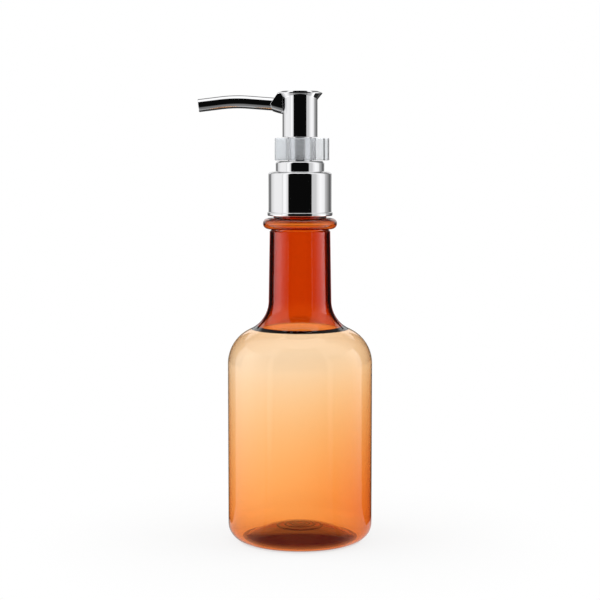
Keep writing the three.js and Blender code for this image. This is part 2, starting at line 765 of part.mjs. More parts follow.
function headShellGeometry() {
  const passage = bar(
    spoutRoot(-headRadius / 2),
    spoutRoot(2 * HOOD_LENGTH),
    spoutRadius + PUSH_GAP,
    PUMP_SIDES,
  );
  const shell = solidOf(headCupGeometry()).add(solidOf(hoodGeometry()));
  return geometryOf(shell.subtract(solidOf(passage)));
}

// The core holds the stem in its middle, the sleeve in a groove and the spout in a cross bore.
// Its outer wall fills the skirt down to the lower edge, where the clip props it up.
function headCoreGeometry() {
  const top = HEAD_HEIGHT - HEAD_WALL - SEAT_GAP;
  const stemSocket = stemRadius + PUSH_GAP;
  const socketEnd = HUB_RECESS + STEM_GRIP + SEAT_GAP;
  const grooveBore = sleeveRadius - SLEEVE_WALL - PUSH_GAP;
  const grooveEnd = HUB_RECESS + SLEEVE_GRIP;
  const boreEnd = spoutRoot(-SPOUT_INSET - SEAT_GAP);
  const channelEnd = spoutRoot(-headRadius);
  const body = revolve([
    [0, channelEnd.z],
    [stemBore, channelEnd.z],
    [stemBore, socketEnd],
    [stemSocket, socketEnd],
    [stemSocket, HUB_RECESS],
    [grooveBore, HUB_RECESS],
    [grooveBore, grooveEnd],
    [grooveRadius, grooveEnd],
    [grooveRadius, 0],
    [coreRadius, 0],
    [coreRadius, top],
    [0, top],
  ], PUMP_SIDES);
  const spoutBore = bar(boreEnd, spoutRoot(headRadius), spoutRadius + PUSH_GAP, PUMP_SIDES);
  const channel = bar(channelEnd, spoutRoot(0), stemBore, PUMP_SIDES);
  return geometryOf(solidOf(body).subtract(solidOf(spoutBore)).subtract(solidOf(channel)));
}

const collar = new THREE.Group();
collar.add(
  piece('collar_shell', collarShellGeometry(), chrome()),
  piece('closure_cap', closureCapGeometry(), whitePlastic()),
);

const spring = piece('return_spring', returnSpringGeometry(), steel());
spring.position.z = springBottom;

const ball = piece('check_ball', new THREE.SphereGeometry(ballRadius, TUBE_SIDES, TUBE_SIDES / 2), glass());
ball.position.z = ballHeight;

const barrel = new THREE.Group();
barrel.add(
  piece('pump_housing', housingGeometry(), clearPlastic()),
  piece('chaplet', chapletGeometry(), whitePlastic()),
  piece('gasket', gasketGeometry(), softPlastic()),
  piece('dip_tube', dipTubeGeometry(), clearPlastic()),
  spring,
  ball,
);

const plunger = new THREE.Group();
plunger.add(
  piece('stem', stemGeometry(), clearPlastic()),
  piece('stem_plug', stemPlugGeometry(), clearPlastic()),
  piece('piston', pistonGeometry(), softPlastic()),
);

const head = new THREE.Group();
head.position.z = headBottom;
head.add(
  piece('head_shell', headShellGeometry(), chrome()),
  piece('head_core', headCoreGeometry(), whitePlastic()),
  piece('stem_sleeve', sleeveGeometry(), chrome()),
  piece('spout_tube', spoutTubeGeometry(), chrome()),
);

const clip = piece('lock_clip', clipGeometry(), clearPlastic());
clip.position.z = clipBottom;

const pump = new THREE.Group();
pump.add(collar, barrel, plunger, head, clip);

const pumpBottle = new THREE.Group();
pumpBottle.name = 'pump_bottle';
pumpBottle.add(piece('bottle', bottleGeometry(), amber()), pump);

export default pumpBottle;
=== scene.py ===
# %% [markdown]
# # A pump bottle of clear amber plastic
#
# A long-necked amber bottle carries a chrome lotion pump with a bent spout. A clear clip under the
# head keeps the pump from being pressed in a parcel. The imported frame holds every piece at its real
# size, as plain faceted solids. This lesson computes each piece again as a fine surface in the same
# place, because chrome and clear plastic show every facet, and gives each one its finish.

import bpy
import bmesh
import numpy as np
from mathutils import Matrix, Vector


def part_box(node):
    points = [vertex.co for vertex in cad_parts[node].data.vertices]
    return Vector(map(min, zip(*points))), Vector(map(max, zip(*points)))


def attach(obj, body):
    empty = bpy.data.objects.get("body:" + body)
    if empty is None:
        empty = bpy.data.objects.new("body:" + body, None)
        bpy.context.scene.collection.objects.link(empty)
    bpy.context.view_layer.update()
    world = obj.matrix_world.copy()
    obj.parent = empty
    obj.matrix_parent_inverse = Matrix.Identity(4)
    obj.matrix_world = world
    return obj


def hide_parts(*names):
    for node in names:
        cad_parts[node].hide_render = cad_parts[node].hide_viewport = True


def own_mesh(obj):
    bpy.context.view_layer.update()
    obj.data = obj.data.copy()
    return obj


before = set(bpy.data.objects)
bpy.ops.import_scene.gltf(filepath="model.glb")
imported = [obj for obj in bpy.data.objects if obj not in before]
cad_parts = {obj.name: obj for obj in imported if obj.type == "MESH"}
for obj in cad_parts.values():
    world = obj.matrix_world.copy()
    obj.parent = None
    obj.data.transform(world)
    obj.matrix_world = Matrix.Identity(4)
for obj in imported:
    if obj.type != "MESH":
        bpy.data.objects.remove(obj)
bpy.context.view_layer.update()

# %% [markdown]
# ## Millimetres
#
# Blender counts in metres, and a bottle is drawn in millimetres. All shapes below are computed in
# millimetres, and one factor turns them into metres when they become a mesh. Places come from the
# frame: the box of a node says where its piece begins and ends.

# %% Boxes of the frame's nodes
MM = 0.001


def node_box(node):
    """The lowest and the highest corner of a node at rest, in millimetres."""
    low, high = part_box(node)
    return np.array(low) / MM, np.array(high) / MM


bottle_high = node_box("bottle")[1]
body_radius = bottle_high[0]
mouth = bottle_high[2]
print(f"bottle: radius {body_radius:.2f} mm, mouth at {mouth:.2f} mm")

# %% [markdown]
# ## The camera
#
# The photograph was taken from a little above the bottle's middle, from about 0.7 m away. A long
# lens from there gives the same slight view down on the base and on the collar's steps. Light has to
# pass many clear walls on its way, so it may bounce often, and reflections are kept sharp.

# %% Camera
CAMERA_PLACE = (0.0, -0.700, 0.170)
CAMERA_TILT = 84.7
CAMERA_LENS = 97.02
LIGHT_BOUNCES = 24

scene = bpy.context.scene
scene.view_settings.view_transform = "Standard"
scene.cycles.blur_glossy = 0.0
scene.cycles.max_bounces = LIGHT_BOUNCES
scene.cycles.transmission_bounces = LIGHT_BOUNCES
camera = bpy.data.objects.new("camera", bpy.data.cameras.new("camera"))
camera.location = CAMERA_PLACE
camera.rotation_euler = (np.radians(CAMERA_TILT), 0, 0)
camera.data.lens = CAMERA_LENS
scene.collection.objects.link(camera)
scene.camera = camera
print(f"camera at {CAMERA_PLACE}, lens {CAMERA_LENS} mm")

# %% [markdown]
# ## Meshes from grids
#
# Every new surface in this lesson is a grid of points, rows by columns, worked out as one array.
# The columns run round the piece and close. The rows close too where the section is a ring, and
# where the first or last row lies on the axis its points fall together and are merged to a pole.

# %% From a grid to a mesh
POLE_SIZE = 1e-7


def grid_mesh(points, ring=True):
    """A mesh of quads over points[row, column] in millimetres. Each quad joins a point, its neighbour
    in the row and the same two in the next row, in the order that makes the faces look outwards when
    the profile runs with the solid on its left."""
    rows, columns = points.shape[:2]
    row = np.arange(rows if ring else rows - 1)[:, None]
    column = np.arange(columns)[None, :]
    next_row = (row + 1) % rows
    next_column = (column + 1) % columns
    quads = np.stack([
        row * columns + column,
        row * columns + next_column,
        next_row * columns + next_column,
        next_row * columns + column,
    ], axis=-1)
    mesh = bpy.data.meshes.new("grid")
    mesh.from_pydata((points.reshape(-1, 3) * MM).tolist(), [], quads.reshape(-1, 4).tolist())
    merged = bmesh.new()
    merged.from_mesh(mesh)
    bmesh.ops.remove_doubles(merged, verts=merged.verts, dist=POLE_SIZE)
    merged.to_mesh(mesh)
    merged.free()
    mesh.shade_smooth()
    return mesh


def volume_of(mesh):
    """The volume inside a closed mesh in cubic millimetres: a sixth of the sum of the triple products
    of its triangles' corners. It is positive when the faces look outwards."""
    mesh.calc_loop_triangles()
    corners = np.empty(len(mesh.loop_triangles) * 3, int)
    mesh.loop_triangles.foreach_get("vertices", corners)
    places = np.empty(len(mesh.vertices) * 3)
    mesh.vertices.foreach_get("co", places)
    a, b, c = np.moveaxis(places.reshape(-1, 3)[corners.reshape(-1, 3)], 1, 0)
    return np.einsum("ij,ij->", a, np.cross(b, c)) / 6 / MM ** 3


finishes = {}


def add_piece(name, mesh, body, slot, *nodes):
    """Puts a mesh into the scene as a piece that rides on a body, has the finish of a slot, and stands
    for these nodes, if any are named."""
    mesh.name = name
    mesh.materials.append(finishes[slot])
    piece = bpy.data.objects.new(name, mesh)
    scene.collection.objects.link(piece)
    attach(piece, body)
    if nodes:
        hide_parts(*nodes)
    print(f"{name}: {len(mesh.polygons)} faces, {volume_of(mesh):.1f} cubic mm")
    return piece


# %% [markdown]
# ## Profiles
#
# Turned pieces start as a profile of radius and height. Real edges are never sharp: a small round
# at each edge catches the light and draws the bright lines by which the eye reads metal. Each round
# gets a point just beside it on the flat, which keeps the flat's reflection straight.

# %% Arcs and rounded corners
ROUND_STEPS = 6
CUT_SHARE = 0.42
SUPPORT_SHARE = 0.3
SUPPORT_LIMIT = 0.07
SIDES = 160


def arc(centre, radius, start, end, steps):
    """Points at centre + radius (cos a, sin a), where the angle a goes evenly from start to end in
    degrees."""
    angle = np.radians(np.linspace(start, end, steps + 1))
    return np.array(centre) + np.stack([radius * np.cos(angle), radius * np.sin(angle)], axis=-1)


def rounded_corner(before, corner, after, radius, steps=ROUND_STEPS):
    """The corner between two straight sides, replaced by an arc tangent to both. The arc starts at
    radius / tan(half angle) from the corner, but never uses more than a share of a side. One more
    point on each side, just outside the arc, holds the flat."""
    before, corner, after = np.array(before), np.array(corner), np.array(after)
    length_in = np.linalg.norm(before - corner)
    length_out = np.linalg.norm(after - corner)
    side_in = (before - corner) / length_in
    side_out = (after - corner) / length_out
    shorter = min(length_in, length_out)
    half = np.arccos(np.clip(side_in @ side_out, -1, 1)) / 2
    cut = min(radius / np.tan(half), CUT_SHARE * shorter)
    middle = (side_in + side_out) / np.linalg.norm(side_in + side_out)
    centre = corner + middle * cut / np.cos(half)
    sweep = np.pi - 2 * half
    share = np.linspace(0, 1, steps + 1)[:, None]
    first = corner + side_in * cut - centre
    last = corner + side_out * cut - centre
    turn = (np.sin((1 - share) * sweep) * first + np.sin(share * sweep) * last) / np.sin(sweep)
    support = min(SUPPORT_SHARE * cut, SUPPORT_LIMIT * shorter)
    return np.concatenate([
        [corner + side_in * (cut + support)],
        centre + turn,
        [corner + side_out * (cut + support)],
    ])


def rounded(corners, radius=0.0):
    """A closed profile through these corners, each rounded with its own radius where the corner names
    one as a third number, and with the common radius otherwise."""
    places = [np.array(corner[:2], float) for corner in corners]
    rounds = [corner[2] if len(corner) > 2 else radius for corner in corners]
    count = len(places)
    return np.concatenate([
        rounded_corner(places[i - 1], places[i], places[(i + 1) % count], rounds[i]) for i in range(count)
    ])


def turned(profile, sides=SIDES):
    """The surface that a profile makes when it turns round the axis: (r, z) goes to
    (r cos a, r sin a, z) for evenly spaced angles a."""
    angle = np.linspace(0, 2 * np.pi, sides, endpoint=False)
    radius, height = profile[:, :1], profile[:, 1:]
    return np.stack([
        radius * np.cos(angle),
        radius * np.sin(angle),
        np.broadcast_to(height, (len(profile), sides)),
    ], axis=-1)


print("a rounded square corner has", len(rounded_corner((0, 1), (0, 0), (1, 0), 0.2)), "points")

# %% [markdown]
# ## Finishes
#
# Each finish is a short function. They share helpers that make a material with its Principled shader
# and add nodes to it. Numbers that are the same all over a surface sit on the shader's own sockets,
# and only what changes from place to place comes out of texture nodes, which read Object coordinates.

# %% Helpers for materials
NOISE_RANGE = (0.3, 0.7)
WHITE = (1.0, 1.0, 1.0, 1.0)


def new_finish(name, **sockets):
    """A material, its tree and its Principled shader, whose named sockets are set to these values."""
    material = bpy.data.materials.new(name)
    material.use_nodes = True
    shader = material.node_tree.nodes["Principled BSDF"]
    for socket, value in sockets.items():
        shader.inputs[socket.replace("_", " ")].default_value = value
    return material, material.node_tree, shader


def add_node(tree, kind, sockets=None, **settings):
    """A node with these properties. Each socket that is named gets a value, or a link where the value
    is another node's output."""
    node = tree.nodes.new(kind)
    for name, value in settings.items():
        setattr(node, name, value)
    for socket, value in (sockets or {}).items():
        if isinstance(value, bpy.types.NodeSocket):
            tree.links.new(value, node.inputs[socket])
        else:
            node.inputs[socket].default_value = value
    return node


def add_ramp(tree, source, start, end, low, high):
    """Maps a value between start and end to low and high, and holds it outside."""
    sockets = {"Value": source, "From Min": start, "From Max": end, "To Min": low, "To Max": high}
    return add_node(tree, "ShaderNodeMapRange", sockets).outputs["Result"]


def add_noise(tree, scale, detail):
    """A noise texture on Object coordinates, scale in cycles per metre."""
    place = add_node(tree, "ShaderNodeTexCoord").outputs["Object"]
    sockets = {"Vector": place, "Scale": scale, "Detail": detail}
    return add_node(tree, "ShaderNodeTexNoise", sockets).outputs[0]


def vary(tree, source, socket, low, high):
    """Spreads a texture's value between two levels of a socket."""
    tree.links.new(add_ramp(tree, source, *NOISE_RANGE, low, high), socket)


def add_bump(tree, source, shader, depth):
    """Lets a texture stand proud of the surface by a depth in metres."""
    bump = add_node(tree, "ShaderNodeBump", {"Strength": 1.0, "Distance": depth, "Height": source})
    tree.links.new(bump.outputs["Normal"], shader.inputs["Normal"])


print("helpers for finishes are ready")

# %% [markdown]
# ## Amber plastic
#
# The bottle is blown from amber plastic. Its colour is in the plastic, so it deepens with the wall:
# pale peach on the thin body, deep red-orange in the thick neck. A tinted surface would give one
# colour everywhere. A clear surface with absorption inside takes the colour from the real walls.
# Green is absorbed at about a half of blue's rate, and red at about a ninth of it.

# %% Amber
AMBER_INDEX = 1.56
AMBER_GLOSS = (0.5, 0.5, 0.5, 1.0)
AMBER_DENSITY = 2700.0
AMBER_PASS = (0.888, 0.53, 0.02, 1.0)
WAVE_SCALE = 28.0
WAVE_DEPTH = 0.00002


def amber_finish():
    """Clear plastic with absorption in its volume, and a faint unevenness from blowing."""
    material, tree, shader = new_finish(
        "amber_plastic",
        Base_Color=WHITE,
        Transmission_Weight=1.0,
        IOR=AMBER_INDEX,
        Specular_Tint=AMBER_GLOSS,
        Roughness=0.015,
    )
    absorb = add_node(tree, "ShaderNodeVolumeAbsorption", {"Color": AMBER_PASS, "Density": AMBER_DENSITY})
    tree.links.new(absorb.outputs["Volume"], tree.nodes["Material Output"].inputs["Volume"])
    add_bump(tree, add_noise(tree, WAVE_SCALE, 1.0), shader, WAVE_DEPTH)
    return material


finishes["amber_plastic"] = amber_finish()
print("amber: density", AMBER_DENSITY, "per metre, passes", AMBER_PASS[:3])

# %% [markdown]
# ## Chrome and the other finishes
#
# The collar, the sleeve, the head and the spout are plastic with a chrome plating, so they mirror
# the studio sharply, with a very slight orange peel. The clip is clear plastic that has gone a
# little cloudy. Inside, the pump is natural polypropylene, a soft piston, steel wire and a glass
# ball. In the photograph nothing of them shows through the amber, so the clear ones hardly bend light.

# %% Chrome
CHROME_COLOUR = (0.70, 0.70, 0.71, 1.0)
PEEL_SCALE = 420.0
PEEL_DEPTH = 0.0000005
WIPE_SCALE = 130.0


def chrome_finish():
    """A mirror with a trace of orange peel and of wiping marks in its gloss."""
    material, tree, shader = new_finish("chrome", Base_Color=CHROME_COLOUR, Metallic=1.0)
    add_bump(tree, add_noise(tree, PEEL_SCALE, 1.0), shader, PEEL_DEPTH)
    vary(tree, add_noise(tree, WIPE_SCALE, 4.0), shader.inputs["Roughness"], 0.02, 0.06)
    return material


finishes["chrome"] = chrome_finish()
print("chrome mirrors", CHROME_COLOUR[0], "of the light")

# %% Frosted clip
FROST_COLOUR = (0.96, 0.98, 1.0, 1.0)
FROST_PASS = 0.86
CLOUD_SCALE = 90.0


def frosted_finish():
    """Clear plastic with a cloudy skin: part of the light scatters, and its roughness is patchy."""
    material, tree, shader = new_finish(
        "frosted_plastic", Base_Color=FROST_COLOUR, Transmission_Weight=FROST_PASS, IOR=1.47,
    )
    vary(tree, add_noise(tree, CLOUD_SCALE, 1.0), shader.inputs["Roughness"], 0.22, 0.27)
    return material


finishes["frosted_plastic"] = frosted_finish()
print("the clip passes", FROST_PASS, "of the light")

# %% Plastics, steel and glass inside the pump
CLEAR_INDEX = 1.002
CLEAR_ROUGHNESS = 0.01
FLOW_SCALE = 150.0
GRAIN_SCALE = 900.0
GRAIN_SPREAD = 0.06
DRAWN_SCALE = 1500.0


def moulded_finish(name, colour, roughness, grain_depth):
    """Plain moulded plastic with a fine grain, a little uneven in its gloss."""
    material, tree, shader = new_finish(name, Base_Color=colour, Subsurface_Weight=0.15, IOR=1.49)
    shader.inputs["Subsurface Radius"].default_value = (0.002, 0.002, 0.0018)
    grain = add_noise(tree, GRAIN_SCALE, 4.0)
    vary(tree, grain, shader.inputs["Roughness"], roughness - GRAIN_SPREAD, roughness + GRAIN_SPREAD)
    add_bump(tree, grain, shader, grain_depth)
    return material


def clear_finish(name):
    """Clear moulded plastic or glass: light passes with hardly a bend."""
    material, tree, shader = new_finish(name, Base_Color=WHITE, Transmission_Weight=1.0, IOR=CLEAR_INDEX)
    flow = add_noise(tree, FLOW_SCALE, 2.0)
    vary(tree, flow, shader.inputs["Roughness"], 0.5 * CLEAR_ROUGHNESS, 1.5 * CLEAR_ROUGHNESS)
    return material


def steel_finish():
    """Drawn wire: metal with fine marks along it."""
    material, tree, shader = new_finish("spring_steel", Base_Color=(0.55, 0.56, 0.57, 1), Metallic=1.0)
    vary(tree, add_noise(tree, DRAWN_SCALE, 3.0), shader.inputs["Roughness"], 0.18, 0.34)
    return material


finishes["white_plastic"] = moulded_finish("white_plastic", (0.88, 0.875, 0.85, 1), 0.38, 0.000004)
finishes["soft_plastic"] = moulded_finish("soft_plastic", (0.84, 0.825, 0.78, 1), 0.52, 0.000006)
finishes["clear_plastic"] = clear_finish("clear_plastic")
finishes["ball_glass"] = clear_finish("ball_glass")
finishes["spring_steel"] = steel_finish()
print("finishes:", ", ".join(finishes))

# %% [markdown]
# ## The bottle
#
# A blown bottle is one wall, turned round its axis, so one closed profile makes it. The outside goes
# from the pushed-up base over the foot, the body, the shoulder, the flare and the neck to the bead
# and the threaded finish. The inside comes back down, and the distance between the two is the wall.
# The neck is thick. Where the flare meets the shoulder the wall thins to a fraction of a millimetre
# over two or three millimetres, and that wedge bends the light away: it is the dark line there.

# %% Bottle sizes
BODY_HEIGHT = 77.5
CORNER_RADIUS = 7.0
FOOT_WIDTH = 1.0
PUSH_UP = 6.0
SHOULDER_RADIUS = 16.2
FLARE_RADIUS = 13.8
NECK_FOOT = 13.6
NECK_TOP = 13.1
NECK_LENGTH = 30.2
BEAD_HEIGHT = 5.5
BEAD_REACH = 2.9
BEAD_SECTION = 2.3
FINISH_RADIUS = 11.0
FINISH_BORE = 9.15
LEDGE_RADIUS = 11.4
LEDGE_HEIGHT = 1.9

shoulder_centre = np.array([body_radius - SHOULDER_RADIUS, BODY_HEIGHT])
flare_out = NECK_FOOT + FLARE_RADIUS
flare_rise = np.sqrt((SHOULDER_RADIUS + FLARE_RADIUS) ** 2 - (flare_out - shoulder_centre[0]) ** 2)
flare_centre = shoulder_centre * (0, 1) + (flare_out, flare_rise)
swing = np.degrees(np.arctan2(flare_rise, flare_out - shoulder_centre[0]))
neck_top = flare_centre[1] + NECK_LENGTH
bead_top = neck_top + BEAD_HEIGHT
bead_centre = np.array([NECK_TOP + BEAD_REACH - BEAD_SECTION, bead_top - BEAD_SECTION])
print(f"flare ends at {flare_centre[1]:.2f}, neck at {neck_top:.2f}, bead at {bead_top:.2f} mm")

# %% Base of the bottle
RING_PLACES = (2.2, 4.0, 6.2, 9.5)
RING_HEIGHT = 0.16
RING_WIDTH = 0.28
DOME_STEPS = 90
FOOT_ROUND = 0.5

foot_radius = body_radius - CORNER_RADIUS
foot_bore = foot_radius - FOOT_WIDTH
dome_radius = (foot_bore ** 2 + PUSH_UP ** 2) / (2 * PUSH_UP)
dome_centre = np.array([0, PUSH_UP - dome_radius])
dome_edge = np.degrees(np.arccos(foot_bore / dome_radius))


def base_outside():
    """The pushed-up base: a shallow dome with a few fine moulded rings round its middle, each a bell
    curve of the radius, then the foot's inner edge as a small round."""
    dome = arc(dome_centre, dome_radius, 90, dome_edge + 1.2, DOME_STEPS)
    rings = np.exp(-((dome[:, :1] - RING_PLACES) / RING_WIDTH) ** 2).sum(axis=1)
    dome[:, 1] -= RING_HEIGHT * rings
    foot = rounded_corner(dome[-1], (foot_bore, 0), (foot_radius, 0), FOOT_ROUND)
    return np.concatenate([dome, foot[1:]])


print(f"base: dome of {dome_radius:.1f} mm, foot ring from {foot_bore:.2f} to {foot_radius:.2f} mm")

# %% Waist and bead
WAIST_RADIUS = 12.5
WAIST_RISE = 0.3
WAIST_ROUNDS = (0.3, 0.2, 0.15)
BEAD_LEAD = 15.0
BEAD_SKIP = 10.0


def waist_and_bead():
    """Over the neck's rounded end the profile steps in to a waist, and runs up until it meets the
    bead's circle, which it follows to its top."""
    inwards = bead_centre[0] - WAIST_RADIUS
    drop = np.sqrt(BEAD_SECTION ** 2 - inwards ** 2)
    start = np.degrees(np.arctan2(drop, inwards)) - 180
    below = (NECK_TOP, neck_top - 2)
    neck_end = (NECK_TOP, neck_top)
    step = (WAIST_RADIUS, neck_top + WAIST_RISE)
    meet = bead_centre - (inwards, drop)
    bead = arc(bead_centre, BEAD_SECTION, start, start + BEAD_LEAD, 1)[1]
    return np.concatenate([
        rounded_corner(below, neck_end, step, WAIST_ROUNDS[0]),
        rounded_corner(neck_end, step, meet, WAIST_ROUNDS[1]),
        rounded_corner(step, meet, bead, WAIST_ROUNDS[2]),
        arc(bead_centre, BEAD_SECTION, start + BEAD_SKIP, 90, 32),
    ])


print(f"bead: {2 * BEAD_SECTION} mm high, {NECK_TOP + BEAD_REACH:.1f} mm radius")

# %% Outside of the bottle
THREAD_ROWS = 90
LEDGE_ROUND = 0.3
THREAD_FOOT_RISE = 0.4
MOUTH_ROUND = 0.5


def column(radius, heights):
    """Points one above the other at these heights."""
    return np.stack([np.full_like(heights, radius), heights], axis=-1)


def finish_outside():
    """The threaded end: the ledge over the bead, the straight side for the thread and a rounded mouth."""
    ledge = (LEDGE_RADIUS, bead_top)
    ledge_top = (LEDGE_RADIUS, bead_top + LEDGE_HEIGHT)
    thread_foot = (FINISH_RADIUS, bead_top + LEDGE_HEIGHT + THREAD_FOOT_RISE)
    return np.concatenate([
        rounded_corner(bead_centre + (0, BEAD_SECTION), ledge, ledge_top, LEDGE_ROUND),
        rounded_corner(ledge, ledge_top, thread_foot, LEDGE_ROUND),
        column(FINISH_RADIUS, np.linspace(thread_foot[1] + 0.3, mouth - 0.8, THREAD_ROWS)),
        rounded_corner(thread_foot, (FINISH_RADIUS, mouth), (FINISH_BORE, mouth), MOUTH_ROUND),
    ])


def bottle_outside():
    """The outer profile from the base's middle up to the mouth."""
    bead = waist_and_bead()
    body = np.linspace(CORNER_RADIUS, BODY_HEIGHT, 40)[1:-1]
    neck = np.linspace(flare_centre[1], bead[0, 1], 24)[1:-1]
    draft = (neck - flare_centre[1]) / NECK_LENGTH
    return np.concatenate([
        base_outside(),
        arc((foot_radius, CORNER_RADIUS), CORNER_RADIUS, -90, 0, 24),
        column(body_radius, body),
        arc(shoulder_centre, SHOULDER_RADIUS, 0, swing, 40),
        arc(flare_centre, FLARE_RADIUS, 180 + swing, 180, 40)[1:],
        np.stack([NECK_FOOT + (NECK_TOP - NECK_FOOT) * draft, neck], axis=-1),
        bead,
        finish_outside(),
    ])


outside = bottle_outside()
print("outside of the bottle:", len(outside), "points")

# %% Inside of the bottle
NECK_WALL = 1.4
FLARE_WALL = 0.95
SHOULDER_WALL = 0.165
FOOT_WALL = 0.605
FLOOR_WALL = 0.8
BEAD_WALL = 0.75
CREASE_SWING = 10.5
CREASE_LIFT = 3.0
RIM_ROUND = 0.4
BORE_ROUND = 0.8


def flare_inside():
    """The inner flare from the neck down. Its wall thins evenly, and just before the shoulder it falls
    in a wedge to the shoulder's own."""
    crease = swing - CREASE_LIFT
    angle = np.concatenate([
        np.linspace(0, crease - CREASE_SWING, 36, endpoint=False),
        np.linspace(crease - CREASE_SWING, crease, 24),
        np.linspace(crease, swing, 9)[1:],
    ])
    thick = NECK_WALL + (FLARE_WALL - NECK_WALL) * angle / swing
    fall = np.clip((angle - crease + CREASE_SWING) / CREASE_SWING, 0, 1)
    reach = FLARE_RADIUS + thick + (SHOULDER_WALL - thick) * fall
    turn = np.radians(180 + angle)
    return flare_centre + reach[:, None] * np.stack([np.cos(turn), np.sin(turn)], axis=-1)


def bottle_inside():
    """The inner profile from the mouth down to the base's middle. It swells into the hollow bead, and
    from the shoulder down the wall thickens evenly."""
    bulge = arc(bead_centre, BEAD_SECTION - BEAD_WALL, 90, -90, 20)
    bore_end = (FINISH_BORE, bulge[0, 1])
    sill = (NECK_TOP - NECK_WALL, bulge[-1, 1])
    flare = flare_inside()
    body = np.linspace(BODY_HEIGHT, CORNER_RADIUS, 40)[1:-1]
    down = (BODY_HEIGHT - body) / (BODY_HEIGHT - CORNER_RADIUS)
    wall = SHOULDER_WALL + (FOOT_WALL - SHOULDER_WALL) * down
    corner = arc((foot_radius, CORNER_RADIUS), CORNER_RADIUS - FOOT_WALL, 0, -84, 24)
    floor = arc(dome_centre, dome_radius + FLOOR_WALL, dome_edge + 1.5, 90, 60)
    return np.concatenate([
        rounded_corner((FINISH_RADIUS, mouth), (FINISH_BORE, mouth), (FINISH_BORE, bead_top), RIM_ROUND),
        rounded_corner((FINISH_BORE, mouth), bore_end, bulge[0], BORE_ROUND),
        bulge,
        rounded_corner(bulge[-1], sill, flare[0], BORE_ROUND),
        flare,
        arc(shoulder_centre, SHOULDER_RADIUS - SHOULDER_WALL, swing, 0, 40)[1:],
        np.stack([body_radius - wall, body], axis=-1),
        corner,
        rounded_corner(corner[-1], (foot_bore, FLOOR_WALL), floor[0], FOOT_ROUND),
        floor,
    ])


inside = bottle_inside()
print("inside of the bottle:", len(inside), "points")

# %% The thread as a ridge on the finish
THREAD_LEAD = 3.175
THREAD_TURNS = 1.5
THREAD_DEPTH = 0.75
THREAD_WIDTH = 1.15
THREAD_FADE = 0.1
THREAD_START = bead_top + 4.0


def thread_ridge(points, start):
    """How far a screw thread stands out at each point, from 0 to 1: the thread's middle climbs evenly
    with the angle, its flanks fall off with the distance from that middle along a steep bell curve,
    and its ends fade over a tenth of a turn."""
    turn = np.mod(np.arctan2(points[..., 1], points[..., 0]), 2 * np.pi) / (2 * np.pi)
    ridge = np.zeros(turn.shape)
    for lap in range(int(np.ceil(THREAD_TURNS))):
        along = turn + lap
        off = (points[..., 2] - start - THREAD_LEAD * along) / (THREAD_WIDTH / 2)
        fade = np.clip(np.minimum(along, THREAD_TURNS - along) / THREAD_FADE, 0, 1)
        ridge = np.maximum(ridge, fade * np.exp(-off ** 4))
    return ridge


def push_out(points, distance):
    """Moves each point away from the axis by its distance."""
    radius = np.hypot(points[..., 0], points[..., 1])
    scale = 1 + distance / np.maximum(radius, 1e-6)
    return points * np.stack([scale, scale, np.ones_like(scale)], axis=-1)


print(f"thread: {THREAD_TURNS} turns from {THREAD_START:.2f} mm up")

# %% Bottle solid
BOTTLE_SIDES = 132
BORE_SHIFT = ((1.0, 0.0), (9.0, 0.11), (22.0, 0.11), (77.5, 0.03), (86.0, 0.0))


def bottle_points():
    """The whole wall, turned, with the thread on its finish. Blown walls are uneven: by an amount that
    follows the height, the bore lies a little to the left, so the wall is thicker on the right."""
    points = turned(np.concatenate([outside, inside]), BOTTLE_SIDES)
    is_outside = (np.arange(len(points)) < len(outside))[:, None]
    on_finish = is_outside & (points[..., 2] > bead_top + LEDGE_HEIGHT)
    points = push_out(points, THREAD_DEPTH * on_finish * thread_ridge(points, THREAD_START))
    shift = np.interp(points[..., 2], *zip(*BORE_SHIFT))
    points[..., 0] -= np.where(is_outside, 0, shift)
    return points


add_piece("amber_bottle", grid_mesh(bottle_points(), ring=False), "bottle", "amber_plastic", "bottle")

# %% [markdown]
# ## The collar and what is under it
#
# The chrome collar is a thin stepped cup. It is pushed over a plastic closure cap, which has the
# thread that draws the pump down on the bottle, with a soft ring between them. All are turned. The
# cap's thread follows the same helix as the bottle's, half a pitch higher, so the two mesh.

# %% Collar shell
COLLAR_WALL = 0.6
COLLAR_RADIUS = 13.6
COLLAR_SIDES = 224
RIM_HEIGHT = 1.5
STEP_RADIUS = 10.45
STEP_HEIGHT = 4.7
SLEEVE_HOLE = 5.5

collar_low, collar_high = node_box("collar_shell")


def collar_profile():
    """A stepped cup upside down: rim, side, step and the hole for the sleeve. Each corner is a radius,
    a height and the size of its round."""
    rim_radius = collar_high[0]
    collar_bottom, step_top = collar_low[2], collar_high[2]
    collar_top = step_top - STEP_HEIGHT
    collar_bore = COLLAR_RADIUS - COLLAR_WALL
    step_bore = STEP_RADIUS - COLLAR_WALL
    return rounded([
        (collar_bore, collar_bottom, 0.15),
        (rim_radius, collar_bottom, 0.45),
        (rim_radius, collar_bottom + RIM_HEIGHT, 0.4),
        (COLLAR_RADIUS, collar_bottom + RIM_HEIGHT, 0.3),
        (COLLAR_RADIUS, collar_top, 1.0),
        (STEP_RADIUS, collar_top, 0.35),
        (STEP_RADIUS, step_top, 1.1),
        (SLEEVE_HOLE, step_top, 0.25),
        (SLEEVE_HOLE, step_top - COLLAR_WALL, 0.1),
        (step_bore, step_top - COLLAR_WALL, 0.5),
        (step_bore, collar_top - COLLAR_WALL, 0.2),
        (collar_bore, collar_top - COLLAR_WALL, 0.4),
    ])


collar_mesh = grid_mesh(turned(collar_profile(), COLLAR_SIDES))
add_piece("chrome_collar", collar_mesh, "collar", "chrome", "collar_shell")

# %% Closure cap with its thread
CLOSURE_BORE = 12.1
CLOSURE_PLATE = 1.3
PLATE_BORE = 7.2
CAP_THREAD_DEPTH = 0.7
BORE_MARGIN = 0.6

